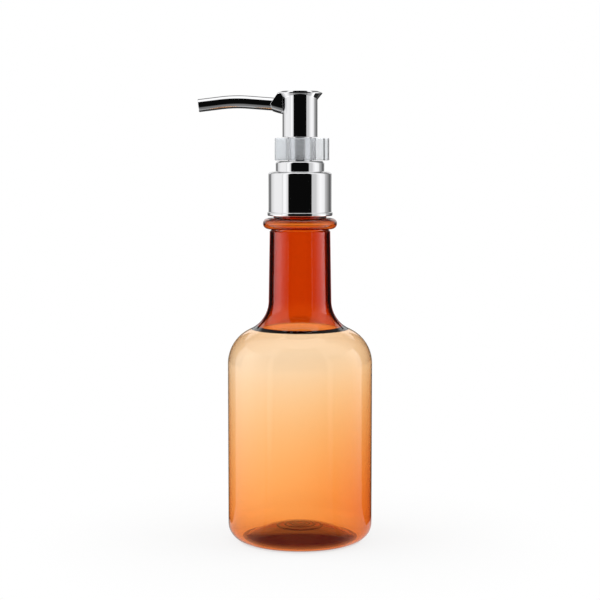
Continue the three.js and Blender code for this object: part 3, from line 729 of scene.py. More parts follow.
closure_low, closure_high = node_box("closure_cap")


def closure_points():
    """A cup with a threaded bore: the profile's bore side has many rows, and they move inwards by the
    thread's ridge."""
    bottom, top = closure_low[2], closure_high[2]
    plate = top - CLOSURE_PLATE
    radius = closure_high[0]
    cup = rounded([
        (CLOSURE_BORE, bottom, 0.2),
        (radius, bottom, 0.2),
        (radius, top, 0.3),
        (PLATE_BORE, top, 0.15),
        (PLATE_BORE, plate, 0.15),
        (CLOSURE_BORE, plate, 0.3),
    ])
    bore = np.linspace(plate - BORE_MARGIN, bottom + BORE_MARGIN, THREAD_ROWS)
    profile = np.concatenate([cup, column(CLOSURE_BORE, bore)])
    points = turned(profile)
    on_bore = (np.arange(len(profile)) >= len(profile) - THREAD_ROWS)[:, None]
    ridge = thread_ridge(points, THREAD_START + THREAD_LEAD / 2)
    return push_out(points, -CAP_THREAD_DEPTH * on_bore * ridge)


add_piece("threaded_closure", grid_mesh(closure_points()), "collar", "white_plastic", "closure_cap")

# %% [markdown]
# ## Turned pieces read from the frame
#
# Gasket, chaplet, housing, plug, piston and sleeve are plain turned pieces whose frame solids already
# have the right section. So the section is read from the solid: the corners in one half-plane through
# the axis, in the order in which the solid's own edges join them. Turned again with many more sides
# and with rounded edges, they lose their facets and keep their sizes.

# %% Reading a section
SNAP = 1e-3


def section_of(node):
    """The corners (r, z) of a turned node in the half-plane where y is 0 and x isn't negative, in
    millimetres, walked along the edges that lie in it."""
    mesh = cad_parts[node].data
    places = np.empty(len(mesh.vertices) * 3)
    mesh.vertices.foreach_get("co", places)
    ends = np.empty(len(mesh.edges) * 2, int)
    mesh.edges.foreach_get("vertices", ends)
    snapped = np.round(places.reshape(-1, 3) / MM / SNAP).astype(int)
    corners, which = np.unique(snapped, axis=0, return_inverse=True)
    pairs = np.unique(np.sort(which.reshape(-1)[ends].reshape(-1, 2), axis=1), axis=0)
    in_plane = (np.abs(corners[:, 1]) <= 1) & (corners[:, 0] >= 0)
    off_axis = corners[pairs][:, :, 0].max(axis=1) > 1
    pairs = pairs[in_plane[pairs].all(axis=1) & off_axis & (pairs[:, 0] != pairs[:, 1])]
    joined = {}
    for a, b in pairs.tolist():
        joined.setdefault(a, []).append(b)
        joined.setdefault(b, []).append(a)
    walk = [min(joined, key=lambda corner: (len(joined[corner]), corners[corner][2]))]
    while following := [corner for corner in joined[walk[-1]] if corner not in walk]:
        walk.append(following[0])
    outline = corners[walk][:, [0, 2]] * SNAP
    ahead = np.roll(outline, -1, axis=0)
    area = np.sum(outline[:, 0] * ahead[:, 1] - outline[:, 1] * ahead[:, 0])
    return outline if area > 0 else outline[::-1]


print("the gasket's section has", len(section_of("gasket")), "corners")

# %% Turning the sections again
TURNED_SIDES = 112


def open_profile(corners, rounds, steps=ROUND_STEPS):
    """A profile that starts and ends on the axis: only the corners between its ends are rounded."""
    places = np.array(corners)
    inner = [
        rounded_corner(*places[i - 1:i + 2], rounds[i], steps) for i in range(1, len(places) - 1)
    ]
    return np.concatenate([places[:1], *inner, places[-1:]])


def turned_again(name, node, body, slot, edge_round):
    """The node's own section with rounded edges, turned with many sides."""
    section = section_of(node)
    profile = rounded(section, edge_round)
    touches_axis = section[:, 0].min() < SNAP
    if touches_axis:
        start = int(np.argmin(section[:, 0] + section[:, 1] * SNAP))
        section = np.roll(section, -start, axis=0)
        profile = open_profile(section, [edge_round] * len(section))
    mesh = grid_mesh(turned(profile, TURNED_SIDES), ring=not touches_axis)
    add_piece(name, mesh, body, slot, node)


turned_again("soft_gasket", "gasket", "pump", "soft_plastic", 0.2)
turned_again("stem_guide", "chaplet", "pump", "white_plastic", 0.2)
turned_again("pump_barrel", "pump_housing", "pump", "clear_plastic", 0.25)
turned_again("wiper_piston", "piston", "piston", "soft_plastic", 0.1)
turned_again("valve_plug", "stem_plug", "plunger", "clear_plastic", 0.2)
turned_again("chrome_sleeve", "stem_sleeve", "head", "chrome", 0.12)

# %% [markdown]
# ## Ball, dip tube and spring
#
# The inlet ball is a true sphere. The dip tube is a turned tube whose lower end is cut at a slant, so
# that it can't seal itself against the floor. The return spring is a wire carried along a helix. It
# has to shorten when the head goes down, and it gets a mesh of its own.

# %% Check ball
BALL_ROWS = 48
BALL_COLUMNS = 96


def ball_points():
    """A sphere: radius (sin b cos a, sin b sin a, -cos b) round the middle of the node's box."""
    low, high = node_box("check_ball")
    radius = (high[2] - low[2]) / 2
    rise = np.linspace(0, np.pi, BALL_ROWS)
    profile = np.stack([radius * np.sin(rise), (low[2] + high[2]) / 2 - radius * np.cos(rise)], axis=-1)
    profile[[0, -1], 0] = 0
    return turned(profile, BALL_COLUMNS)


add_piece("inlet_ball", grid_mesh(ball_points(), ring=False), "ball", "ball_glass", "check_ball")

# %% Dip tube
DIP_WALL = 0.7
DIP_CUT = 30.0
DIP_ROUND = 0.12
DIP_SIDES = 96


def dip_tube_points():
    """A tube with its lower end sheared: near the bottom each point drops in proportion to x, which
    makes a plane slanted cut."""
    low, high = node_box("dip_tube")
    radius = high[0]
    slant = np.tan(np.radians(DIP_CUT))
    level = low[2] + radius * slant
    tube = rounded([
        (radius - DIP_WALL, level),
        (radius, level),
        (radius, high[2]),
        (radius - DIP_WALL, high[2]),
    ], DIP_ROUND)
    points = turned(tube, DIP_SIDES)
    points[..., 2] -= np.where(points[..., 2] < level + radius, slant * points[..., 0], 0)
    return points


add_piece("dip_tube_clear", grid_mesh(dip_tube_points()), "pump", "clear_plastic", "dip_tube")

# %% Return spring
SPRING_WIRE = 0.8
SPRING_COILS = 9
WIRE_SIDES = 14
STEPS_PER_COIL = 40
TAPER_STEPS = 4

spring_low, spring_high = node_box("return_spring")


def spring_points():
    """A wire carried along a helix: at angle a the middle is (R cos a, R sin a, climb a), and the wire's
    circle lies in the plane of the outward direction and the helix's own upward normal. Over its last
    few steps each end rounds off to a point, which closes it."""
    mean = spring_high[0] - SPRING_WIRE / 2
    steps = SPRING_COILS * STEPS_PER_COIL
    share = np.linspace(0, 1, steps + 1)[:, None]
    angle = 2 * np.pi * SPRING_COILS * share
    length = spring_high[2] - spring_low[2] - SPRING_WIRE
    height = spring_low[2] + SPRING_WIRE / 2 + length * share
    lean = np.arctan2(length / (2 * np.pi * SPRING_COILS), mean)
    out = np.stack([np.cos(angle), np.sin(angle), np.zeros_like(angle)], axis=-1)
    up = np.stack([
        np.sin(lean) * np.sin(angle),
        -np.sin(lean) * np.cos(angle),
        np.full_like(angle, np.cos(lean)),
    ], axis=-1)
    middle = np.concatenate([mean * np.cos(angle), mean * np.sin(angle), height], axis=-1)[:, None]
    end = np.minimum(np.minimum(share, 1 - share) * steps / TAPER_STEPS, 1)
    wire = SPRING_WIRE / 2 * np.sqrt(np.clip(1 - (1 - end) ** 2, 0, 1))
    around = np.linspace(0, 2 * np.pi, WIRE_SIDES, endpoint=False)
    section = np.cos(around)[:, None] * out + np.sin(around)[:, None] * up
    return middle + wire[..., None] * section


spring_mesh = grid_mesh(spring_points()[::-1], ring=False)
spring = add_piece("wire_spring", spring_mesh, "pump", "spring_steel", "return_spring")
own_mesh(spring)

# %% [markdown]
# ## The head
#
# The head is a chrome cup with a flat top. Its top spreads into a lip that reaches far out to both
# ends and hardly at all to the front and back, like a pair of petals. The lip is one surface: a
# turned profile whose outer points are scaled by a share that depends on the angle.

# %% Head cup
HEAD_WALL = 0.55
HEAD_RADIUS = 7.55
LIP_REACH = 2.1
LIP_FRONT_SHARE = 0.15
LIP_ROUNDNESS = 1.8
LIP_FLARE = 2.6
LIP_EDGE = 1.0
LIP_DROOP = 0.6
LIP_SLOPE = 1.2
SKIRT_HEIGHT = 5.0
HEAD_SIDES = 256
HEAD_ROUND_STEPS = 8

head_low, head_high = node_box("head_shell")
head_bottom, head_top = head_low[2], head_high[2]
lip_bottom = head_top - LIP_EDGE


def head_points():
    """A cup upside down with a lip. Beyond the skirt's radius, a point's extra reach and its drop under
    the lip's edge are multiplied by share(a) = front + (1 - front) |cos a| ^ roundness."""
    bore = HEAD_RADIUS - HEAD_WALL
    lip = HEAD_RADIUS + LIP_REACH
    ceiling = head_top - HEAD_WALL
    corners = [
        (0, ceiling, 0),
        (bore, ceiling, 0.3),
        (bore, head_bottom, 0.12),
        (HEAD_RADIUS, head_bottom, 0.3),
        (HEAD_RADIUS, lip_bottom - LIP_FLARE, 0.8),
        (lip, lip_bottom, 0.15),
        (lip, head_top - LIP_DROOP, 0.2),
        (lip - LIP_SLOPE, head_top, 0.8),
        (0, head_top, 0),
    ]
    rounds = [corner[2] for corner in corners]
    profile = open_profile([corner[:2] for corner in corners], rounds, HEAD_ROUND_STEPS)
    radius, height = profile[:, :1], profile[:, 1:]
    angle = np.linspace(0, 2 * np.pi, HEAD_SIDES, endpoint=False)
    share = LIP_FRONT_SHARE + (1 - LIP_FRONT_SHARE) * np.abs(np.cos(angle)) ** LIP_ROUNDNESS
    high = height > head_bottom + SKIRT_HEIGHT
    extra = np.clip(radius - HEAD_RADIUS, 0, None)
    under_lip = np.clip(lip_bottom - height, 0, LIP_FLARE + 1)
    drop = np.where(high & (radius > bore + HEAD_WALL / 2), under_lip, 0)
    points = push_out(turned(profile, HEAD_SIDES), extra * (share - 1) * high)
    points[..., 2] += drop * (1 - share)
    return points


add_piece("chrome_head", grid_mesh(head_points(), ring=False), "head", "chrome", "head_shell")

# %% [markdown]
# ## The spout and its hood
#
# The spout is a thin tube that rises out of the head, bends once and drops to its tip. It is carried
# along a line of a straight stretch, an arc and another straight stretch. The hood is the flat-sided
# gusset over its root, cut off at a slope from the lip down to the spout's middle.

# %% Spout line
SPOUT_HEIGHT = 13.9
SPOUT_REACH = 36.1
SPOUT_BEND_REACH = 20.5
SPOUT_RISE = np.radians(4.3)
SPOUT_DROP = np.radians(7.0)
SPOUT_BEND_RADIUS = 60.0

bend_tangent = SPOUT_BEND_RADIUS * np.tan((SPOUT_RISE + SPOUT_DROP) / 2)
rise_length = SPOUT_BEND_REACH / np.cos(SPOUT_RISE) - bend_tangent
bend_length = SPOUT_BEND_RADIUS * (SPOUT_RISE + SPOUT_DROP)
drop_length = (SPOUT_REACH - SPOUT_BEND_REACH) / np.cos(SPOUT_DROP) - bend_tangent
spout_length = rise_length + bend_length + drop_length


def spout_line(along):
    """The spout's middle and its slope at a distance along it from the skirt: straight, then an arc
    whose slope falls evenly, then straight again."""
    straight = np.minimum(along, rise_length)
    bent = np.clip(along - rise_length, 0, bend_length)
    end = np.maximum(along - rise_length - bend_length, 0)
    slope = SPOUT_RISE - bent / SPOUT_BEND_RADIUS
    out = straight * np.cos(SPOUT_RISE) + end * np.cos(slope)
    out = out + SPOUT_BEND_RADIUS * (np.sin(SPOUT_RISE) - np.sin(slope))
    up = straight * np.sin(SPOUT_RISE) + end * np.sin(slope)
    up = up + SPOUT_BEND_RADIUS * (np.cos(slope) - np.cos(SPOUT_RISE))
    return -HEAD_RADIUS - out, head_bottom + SPOUT_HEIGHT + up, slope


print(f"spout: {spout_length:.1f} mm outside the head")

# %% Spout tube
SPOUT_RADIUS = 2.8
SPOUT_WALL = 0.6
SPOUT_INSET = 3.9
SPOUT_SIDES = 96
SPOUT_STEPS = 90
ROOT_ROUND = 0.12
TIP_ROUNDS = (0.18, 0.15)


def spout_points():
    """A tube's section, carried along the spout's line: the closed profile (distance along, radius)
    runs out along the outside and back along the bore, and each of its points turns round the line."""
    root, tip = -SPOUT_INSET, spout_length
    bore = SPOUT_RADIUS - SPOUT_WALL
    steps = np.linspace(root + 0.5, tip - 0.6, SPOUT_STEPS)
    profile = np.concatenate([
        rounded_corner((root, bore), (root, SPOUT_RADIUS), (tip, SPOUT_RADIUS), ROOT_ROUND),
        column(SPOUT_RADIUS, steps)[:, ::-1],
        rounded_corner((root, SPOUT_RADIUS), (tip, SPOUT_RADIUS), (tip, bore), TIP_ROUNDS[0]),
        rounded_corner((tip, SPOUT_RADIUS), (tip, bore), (root, bore), TIP_ROUNDS[1]),
        column(bore, steps[::-1])[:, ::-1],
        rounded_corner((tip, bore), (root, bore), (root, SPOUT_RADIUS), ROOT_ROUND),
    ])
    x, z, slope = (part[:, None] for part in spout_line(profile[:, 0]))
    angle = np.linspace(2 * np.pi, 0, SPOUT_SIDES, endpoint=False)
    radius = profile[:, 1:]
    lift = radius * np.sin(angle)
    return np.stack([
        x + lift * np.sin(slope),
        radius * np.cos(angle),
        z + lift * np.cos(slope),
    ], axis=-1)


add_piece("chrome_spout", grid_mesh(spout_points()), "head", "chrome", "spout_tube")

# %% Hood over the spout's root
HOOD_HALF_WIDTH = 3.45
HOOD_LENGTH = 5.2
HOOD_GAP = 0.25
HOOD_SQUARENESS = 5.0
HOOD_ROUND = 0.16
HOOD_SIDES = 160
HOOD_INSET = 0.35
ROOT_FLARE = 0.5
ROOT_LENGTH = 4.2
ROOT_EDGE = 0.08
BACK_STEPS = 8


def hood_points():
    """A collar round the spout's root. At each angle round the spout its section is a closed loop:
    out along the outside, over a slanted end, and back along the bore. In the upper half the outside is
    a squared oval as wide as the hood and as high as the lip, and the end is the slope from the lip to
    the spout's middle. In the lower half it is a thin fillet that dies out along the spout."""
    angle = np.linspace(2 * np.pi, 0, HOOD_SIDES, endpoint=False)
    side, up = np.cos(angle), np.sin(angle)
    low = np.clip(-up, 0, 1)
    middle = head_bottom + SPOUT_HEIGHT
    bore = SPOUT_RADIUS + HOOD_GAP
    top = lip_bottom + LIP_EDGE / 2 - middle
    across = np.abs(side / HOOD_HALF_WIDTH) ** HOOD_SQUARENESS
    upright = np.abs(np.clip(up, 0, None) / top) ** HOOD_SQUARENESS
    oval = (across + upright) ** (-1 / HOOD_SQUARENESS)
    outer = np.where(up >= 0, oval, HOOD_HALF_WIDTH + ROOT_FLARE * low)
    lip_x = HEAD_RADIUS + LIP_REACH - HOOD_INSET
    slope = (HOOD_LENGTH - LIP_REACH + HOOD_INSET) / top
    root_end = HEAD_RADIUS + HOOD_LENGTH - (HOOD_LENGTH - ROOT_LENGTH) * low

    def end_at(radius):
        """How far out the hood ends at this distance from the spout's middle."""
        return np.where(up >= 0, lip_x + slope * (top - np.clip(radius * up, 0, None)), root_end)

    start = HEAD_RADIUS - HEAD_WALL / 2
    share = np.linspace(0, 1, 14)[:, None]
    taper = (outer - bore - ROOT_EDGE) * low * (2 - low)
    run_radius = outer - taper * share ** 1.4
    run_out = start + (end_at(run_radius[-1]) - HOOD_ROUND - start) * share
    turn = np.linspace(0, np.pi / 2, 6)[1:, None]
    step = np.minimum(HOOD_ROUND, 0.5 * (run_radius[-1] - bore))
    edge_radius = run_radius[-1] - step * (1 - np.cos(turn))
    edge_out = end_at(edge_radius) - HOOD_ROUND * (1 - np.sin(turn))
    face_radius = edge_radius[-1] + (bore - edge_radius[-1]) * np.linspace(0.1, 1, 6)[:, None]
    back_radius = np.full((BACK_STEPS, HOOD_SIDES), bore)
    back_out = start + (end_at(back_radius[0]) - start) * np.linspace(0.9, 0, BACK_STEPS)[:, None]
    radius = np.concatenate([run_radius, edge_radius, face_radius, back_radius])
    out = np.concatenate([run_out, edge_out, end_at(face_radius), back_out])
    rise = np.tan(SPOUT_RISE) * (out - HEAD_RADIUS)
    return np.stack([-out, radius * side, middle + rise + radius * up], axis=-1)


add_piece("chrome_hood", grid_mesh(hood_points()), "head", "chrome")

# %% [markdown]
# ## The clip
#
# The clip is cut from one extruded outline: an open ring, two spread lips at its mouth, and behind it
# a fin with a round grip. Its edges are rounded in the mould, so the outline shrinks a little at the
# top and bottom along a quarter circle.

# %% Clip outline
CLIP_BORE = 5.5
CLIP_WALL = 1.2
CLIP_MOUTH = 4.4
CLIP_LIP_SPREAD = 1.6
CLIP_FIN_LENGTH = 3.2
CLIP_FIN_THICKNESS = 1.6
CLIP_GRIP_RADIUS = 1.35
CLIP_CORNER = 0.45
CLIP_LEAD = 12.0
CLIP_POINTS = 480

clip_low, clip_high = node_box("lock_clip")


def clip_outline():
    """The outline, counterclockwise, as points spaced evenly along it. One half is drawn from the grip
    round the ring to the lip and back along the bore, and is then mirrored. Its outward corners are
    rounder than the edge, so that the outline doesn't cross itself where the edge shrinks it."""
    radius = CLIP_BORE + CLIP_WALL
    half = CLIP_FIN_THICKNESS / 2
    fin_angle = np.degrees(np.arcsin(half / radius))
    lip_angle = 180 - np.degrees(np.arcsin((CLIP_MOUTH / 2 + CLIP_WALL) / radius))
    mouth_angle = 180 - np.degrees(np.arcsin(CLIP_MOUTH / 2 / CLIP_BORE))
    grip = radius + CLIP_FIN_LENGTH + CLIP_GRIP_RADIUS
    grip_angle = 180 - np.degrees(np.arcsin(half / CLIP_GRIP_RADIUS))
    ring = arc((0, 0), radius, fin_angle, lip_angle, 60)
    bore = arc((0, 0), CLIP_BORE, mouth_angle - CLIP_LEAD, 0, 60)
    bore_end = arc((0, 0), CLIP_BORE, mouth_angle, 0, 1)[0]
    lip_root = np.array([clip_low[0], CLIP_MOUTH / 2 + CLIP_LIP_SPREAD])
    lip_tip = lip_root + (0, CLIP_WALL)
    upper = np.concatenate([
        arc((grip, 0), CLIP_GRIP_RADIUS, 0, grip_angle, 24),
        ring,
        rounded_corner(ring[-1], lip_tip, lip_root, CLIP_CORNER),
        rounded_corner(lip_tip, lip_root, bore_end, CLIP_CORNER),
        rounded_corner(lip_root, bore_end, bore[0], CLIP_CORNER),
        bore,
    ])
    lower = upper[::-1] * (1, -1)
    outline = np.concatenate([upper[:-1], lower[:-1]])
    closed = np.concatenate([outline, outline[:1]])
    length = np.concatenate([[0], np.cumsum(np.linalg.norm(np.diff(closed, axis=0), axis=1))])
    even = np.linspace(0, length[-1], CLIP_POINTS, endpoint=False)
    return np.stack([np.interp(even, length, closed[:, axis]) for axis in (0, 1)], axis=-1)


print("clip outline:", len(clip_outline()), "points")

# %% Clip solid
CLIP_EDGE = 0.35
CLIP_ROWS = (0.12, 0.5, 0.88)


def clip_points():
    """The outline stacked in rows: at the edges it moves inwards along its own normal by a quarter
    circle's amount, and between them it runs straight up."""
    outline = clip_outline()
    tangent = np.roll(outline, -1, axis=0) - np.roll(outline, 1, axis=0)
    normal = np.stack([tangent[:, 1], -tangent[:, 0]], axis=-1)
    normal = normal / np.linalg.norm(normal, axis=1, keepdims=True)
    turn = np.linspace(0, np.pi / 2, 7)
    shrink = CLIP_EDGE * (1 - np.sin(turn))
    lift = CLIP_EDGE * (1 - np.cos(turn))
    middle = np.array(CLIP_ROWS) * (clip_high[2] - clip_low[2])
    inset = np.concatenate([shrink, 0 * middle, shrink[::-1]])
    height = np.concatenate([clip_low[2] + lift, clip_low[2] + middle, clip_high[2] - lift[::-1]])
    flat = outline[None] - inset[:, None, None] * normal[None]
    return np.concatenate([flat, np.broadcast_to(height[:, None, None], flat.shape[:2] + (1,))], axis=-1)


def capped(mesh):
    """Closes the open bottom and top of a stack of outlines with one flat face each."""
    shape = bmesh.new()
    shape.from_mesh(mesh)
    edges = [edge for edge in shape.edges if edge.is_boundary]
    caps = bmesh.ops.edgeloop_fill(shape, edges=edges)["faces"]
    bmesh.ops.recalc_face_normals(shape, faces=shape.faces)
    for cap in caps:
        cap.smooth = False
    shape.to_mesh(mesh)
    shape.free()
    return mesh


clip_mesh = capped(grid_mesh(clip_points(), ring=False))
add_piece("snap_clip", clip_mesh, "clip", "frosted_plastic", "lock_clip")

# %% [markdown]
# ## Pieces that stay as they are
#
# The stem and the head's core are drilled crosswise, and nothing shows them: the frame's own solids
# are right, so they only get their finish.

# %% Finish of the stem and the core
for node, slot in (("stem", "clear_plastic"), ("head_core", "white_plastic")):
    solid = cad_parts[node].data
    solid.materials.clear()
    solid.materials.append(finishes[slot])
print("stem and head_core keep their frame solids")

# %% [markdown]
# ## The studio
#
# The ground and the world are white wherever a ray looks straight at them, also by way of metal or
# through glass, and they light the bottle at a plain level. Close to the bottle a share of the ground
# is plain lit paper, so that it keeps a faint shadow. Under the front of the base the paper carries a
# painted shade: its colour and its glow are a dark red there. This stands for the shade under the base
# and for the little light that the amber has passed.

# %% World
WORLD_FILL = 0.55


def combine(tree, operation, first, second):
    """One number out of two."""
    return add_node(tree, "ShaderNodeMath", {0: first, 1: second}, operation=operation).outputs[0]


def straight_look(tree):
    """A factor that is 1 for rays from the camera, off metal or through glass, and 0 for the rest."""
    path = add_node(tree, "ShaderNodeLightPath").outputs
    first = combine(tree, "MAXIMUM", path["Is Camera Ray"], path["Is Glossy Ray"])
    return combine(tree, "MAXIMUM", first, path["Is Transmission Ray"])


def white_world():
    """White at strength 1 to look at, and weaker as a fill light."""
    world = bpy.data.worlds.new("studio")
    world.use_nodes = True
    tree = world.node_tree
    tree.nodes.clear()
    fill = add_node(tree, "ShaderNodeBackground", {"Color": WHITE, "Strength": WORLD_FILL}).outputs[0]
    white = add_node(tree, "ShaderNodeBackground", {"Color": WHITE, "Strength": 1.0}).outputs[0]
    mix = add_node(tree, "ShaderNodeMixShader", {0: straight_look(tree), 1: fill, 2: white})
    add_node(tree, "ShaderNodeOutputWorld", {"Surface": mix.outputs[0]})
    return world


scene.world = white_world()
print("world: white to look at, fill at", WORLD_FILL)

# %% Paper that keeps the bottle's shadow
SHADOW_REACH = 0.12
SHADOW_SHARE = 0.2
FOOT_SHADE = 0.0248
CONTACT_REACH = (0.0236, 0.0278)
CONTACT_LEFT = 0.4
# Painted shade under the front of the base: a soft-edged ellipse of dark red, which stands for the shade
# there and for the light that the amber passes.
PAINTED_SHADE_HALF = (0.0236, 0.0142)
PAINTED_SHADE_FORWARD = 0.0052
PAINTED_SHADE_EDGE = (0.74, 1.12)
PAINTED_SHADE_COLOUR = (0.27, 0.008, 0.002, 1.0)
PAPER_COLOUR = (0.9, 0.9, 0.9, 1.0)


def bare_material(name):
    """A material with an empty tree. Where it glows, it is no lamp: rays find it by chance."""
    material = bpy.data.materials.new(name)
    material.cycles.emission_sampling = "NONE"
    material.use_nodes = True
    material.node_tree.nodes.clear()
    return material, material.node_tree


def length_of(tree, vector):
    """The length of a vector."""
    return add_node(tree, "ShaderNodeVectorMath", {0: vector}, operation="LENGTH").outputs["Value"]


def floor_finish():
    """White paper: it glows white where it is looked at. Near the bottle a share of it is lit paper, so
    that the shadow stays. Under the front of the base a soft-edged ellipse is painted shade: the paper's
    colour and its glow turn a dark red there, standing for light that only the amber has passed."""
    material, tree = bare_material("paper")
    place = add_node(tree, "ShaderNodeTexCoord").outputs["Object"]
    # The ellipse of painted shade: inside it, the paper's colour goes over to the dark red.
    painted_shade_ellipse = add_node(tree, "ShaderNodeVectorMath", {
        0: place,
        1: (1 / PAINTED_SHADE_HALF[0], 1 / PAINTED_SHADE_HALF[1], 0),
        2: (0, PAINTED_SHADE_FORWARD / PAINTED_SHADE_HALF[1], 0),
    }, operation="MULTIPLY_ADD").outputs[0]
    outside_painted_shade = add_ramp(tree, length_of(tree, painted_shade_ellipse), *PAINTED_SHADE_EDGE, 0, 1)
    colours = {0: outside_painted_shade, 6: PAINTED_SHADE_COLOUR, 7: PAPER_COLOUR}
    colour = add_node(tree, "ShaderNodeMix", colours, data_type="RGBA").outputs[2]
    distance = length_of(tree, place)
    outer = add_ramp(tree, distance, FOOT_SHADE, SHADOW_REACH, 1 - SHADOW_SHARE, 1)
    contact = add_ramp(tree, distance, *CONTACT_REACH, CONTACT_LEFT, 1)
    share = combine(tree, "MULTIPLY", straight_look(tree), outer)
    share = combine(tree, "MULTIPLY", share, contact)
    paper = add_node(tree, "ShaderNodeBsdfDiffuse", {"Color": colour}).outputs[0]
    # Inside the ellipse the glow is painted too: a faint dark red light that stands for what the amber
    # lets through.
    brightness = {"Color": colour, "Strength": 1 / PAPER_COLOUR[0]}
    glow = add_node(tree, "ShaderNodeEmission", brightness).outputs[0]
    mix = add_node(tree, "ShaderNodeMixShader", {0: share, 1: paper, 2: glow})
    add_node(tree, "ShaderNodeOutputMaterial", {"Surface": mix.outputs[0]})
    return material


paper_finish = floor_finish()
print("paper: shadow within", SHADOW_REACH, "m of the axis")

# %% Floor
FLOOR_SIZE = 60.0
FLOOR_DROP = 0.0002


def add_stage(name, mesh, material, hidden_from=()):
    """A stage object, hidden from these kinds of ray."""
    mesh.materials.append(material)
    thing = bpy.data.objects.new(name, mesh)
    scene.collection.objects.link(thing)
    for kind in hidden_from:
        setattr(thing, "visible_" + kind, False)
    return thing


floor_mesh = bpy.data.meshes.new("floor")
reach = FLOOR_SIZE / 2
floor_corners = [(-reach, -reach, 0), (reach, -reach, 0), (reach, reach, 0), (-reach, reach, 0)]
floor_mesh.from_pydata(floor_corners, [], [(0, 1, 2, 3)])
floor = add_stage("floor", floor_mesh, paper_finish)
floor.location.z = -FLOOR_DROP
print(f"floor: {FLOOR_SIZE} m of white paper")

# %% [markdown]
# ## Tents and cards
#
# Chrome is only as good as what it mirrors. The photograph's chrome shows a black stripe down the
# middle, from a dark studio behind the camera, white to both sides of it, from two large soft boxes,
# and grey at its edges. So a tent stands round the bottle that only mirrors see, and its brightness
# is a function of the bearing. A second tent, which only light that has passed through something
# sees, holds the ground behind the amber and the dark to both sides of it, which draws the dark lines
# along the neck. Close to the bottle, bright cards stand for the soft boxes on the amber's own gloss,
# and dark cards behind them keep its edges deep.

# %% Tents
TENT_RADIUS = 1.05
TENT_MIDDLE = 0.18
TENT_HOLE = 0.0258
TENT_FLOOR = 0.0001
TOP_START, TOP_END = 61.0, 63.0
HIGH_START, HIGH_END = 14.0, 24.0
BACK_BLEND = 4.0


def level_mesh(name, points, level):
    """An open grid of points[row, column] in metres, whose points carry a level of brightness."""
    rows, columns = level.shape
    row, column = np.meshgrid(np.arange(rows - 1), np.arange(columns - 1), indexing="ij")
    first = (row * columns + column).reshape(-1)
    quads = np.stack([first, first + columns, first + columns + 1, first + 1], axis=-1)
    mesh = bpy.data.meshes.new(name)
    mesh.from_pydata(points.reshape(-1, 3).tolist(), [], quads.tolist())
    colour = np.repeat(level.reshape(-1, 1), 4, axis=1)
    mesh.attributes.new("level", "FLOAT_COLOR", "POINT").data.foreach_set("color", colour.ravel())
    return mesh


def round_points(bearing, radius, height):
    """Points at (r sin a, -r cos a, z): bearings a count from the camera's side towards +X."""
    turn = np.radians(bearing)
    x, y = radius * np.sin(turn), -radius * np.cos(turn)
    return np.stack([x, y, np.broadcast_to(height, x.shape)], axis=-1)


def look_up(value, table):
    """Reads a table of (place, level) pairs, evenly between its places."""
    return np.interp(value, *zip(*table))


def tent_mesh(name, dome, floor, fade, back, far_reach, back_start, high_share, top):
    """A floor and a dome round the object. The dome's level follows the bearing, as its table gives it,
    and from back_start on it follows the angle above the horizon instead. High up only a share of it is
    left, and the top has a level of its own. The floor's level follows the bearing and fades with the
    distance by its two tables, and from the end of the second to far_reach it goes over to the dome's."""
    bearing = np.linspace(-180, 180, 721)[None, :]
    lowest = -np.degrees(np.arcsin(TENT_MIDDLE / TENT_RADIUS)) + 0.1
    rise = np.concatenate([np.linspace(lowest, TOP_START, 72), np.linspace(TOP_END, 90, 16)])[:, None]
    side = look_up(bearing, dome)
    behind = np.clip((np.abs(bearing) - back_start) / BACK_BLEND, 0, 1)
    wall = side + (look_up(rise, back) - side) * behind
    wall = wall * np.interp(rise, (HIGH_START, HIGH_END), (1, high_share))
    out = np.linspace(TENT_HOLE, TENT_RADIUS, 60)[:, None]
    near_level = look_up(bearing, floor) * look_up(out, fade)
    near_reach = fade[-1][0]
    to_wall = np.clip((out - near_reach) / (far_reach - near_reach), 0, 1)
    level = np.concatenate([
        near_level + (wall[:1] - near_level) * to_wall,
        np.where(rise > TOP_START, top, wall),
    ])
    slant = np.radians(rise)
    radius = np.concatenate([out * np.cos(np.radians(lowest)), TENT_RADIUS * np.cos(slant)])
    height = np.concatenate([np.full_like(out, TENT_FLOOR), TENT_MIDDLE + TENT_RADIUS * np.sin(slant)])
    return level_mesh(name, round_points(bearing, radius, height), level)


def glow_finish():
    """A surface that glows at the level that its mesh gives it."""
    material, tree = bare_material("tent")
    level = add_node(tree, "ShaderNodeAttribute", attribute_name="level").outputs["Color"]
    glow = add_node(tree, "ShaderNodeEmission", {"Color": level}).outputs[0]
    add_node(tree, "ShaderNodeOutputMaterial", {"Surface": glow})
    return material


# Each row names the kinds of ray that don't see a thing, so that mirrors only, or glass only, show it.
MIRRORS_ONLY = ("camera", "diffuse", "transmission", "volume_scatter", "shadow")
GLASS_ONLY = ("camera", "diffuse", "glossy", "volume_scatter", "shadow")
glow = glow_finish()
print("tents reach", TENT_RADIUS, "m")

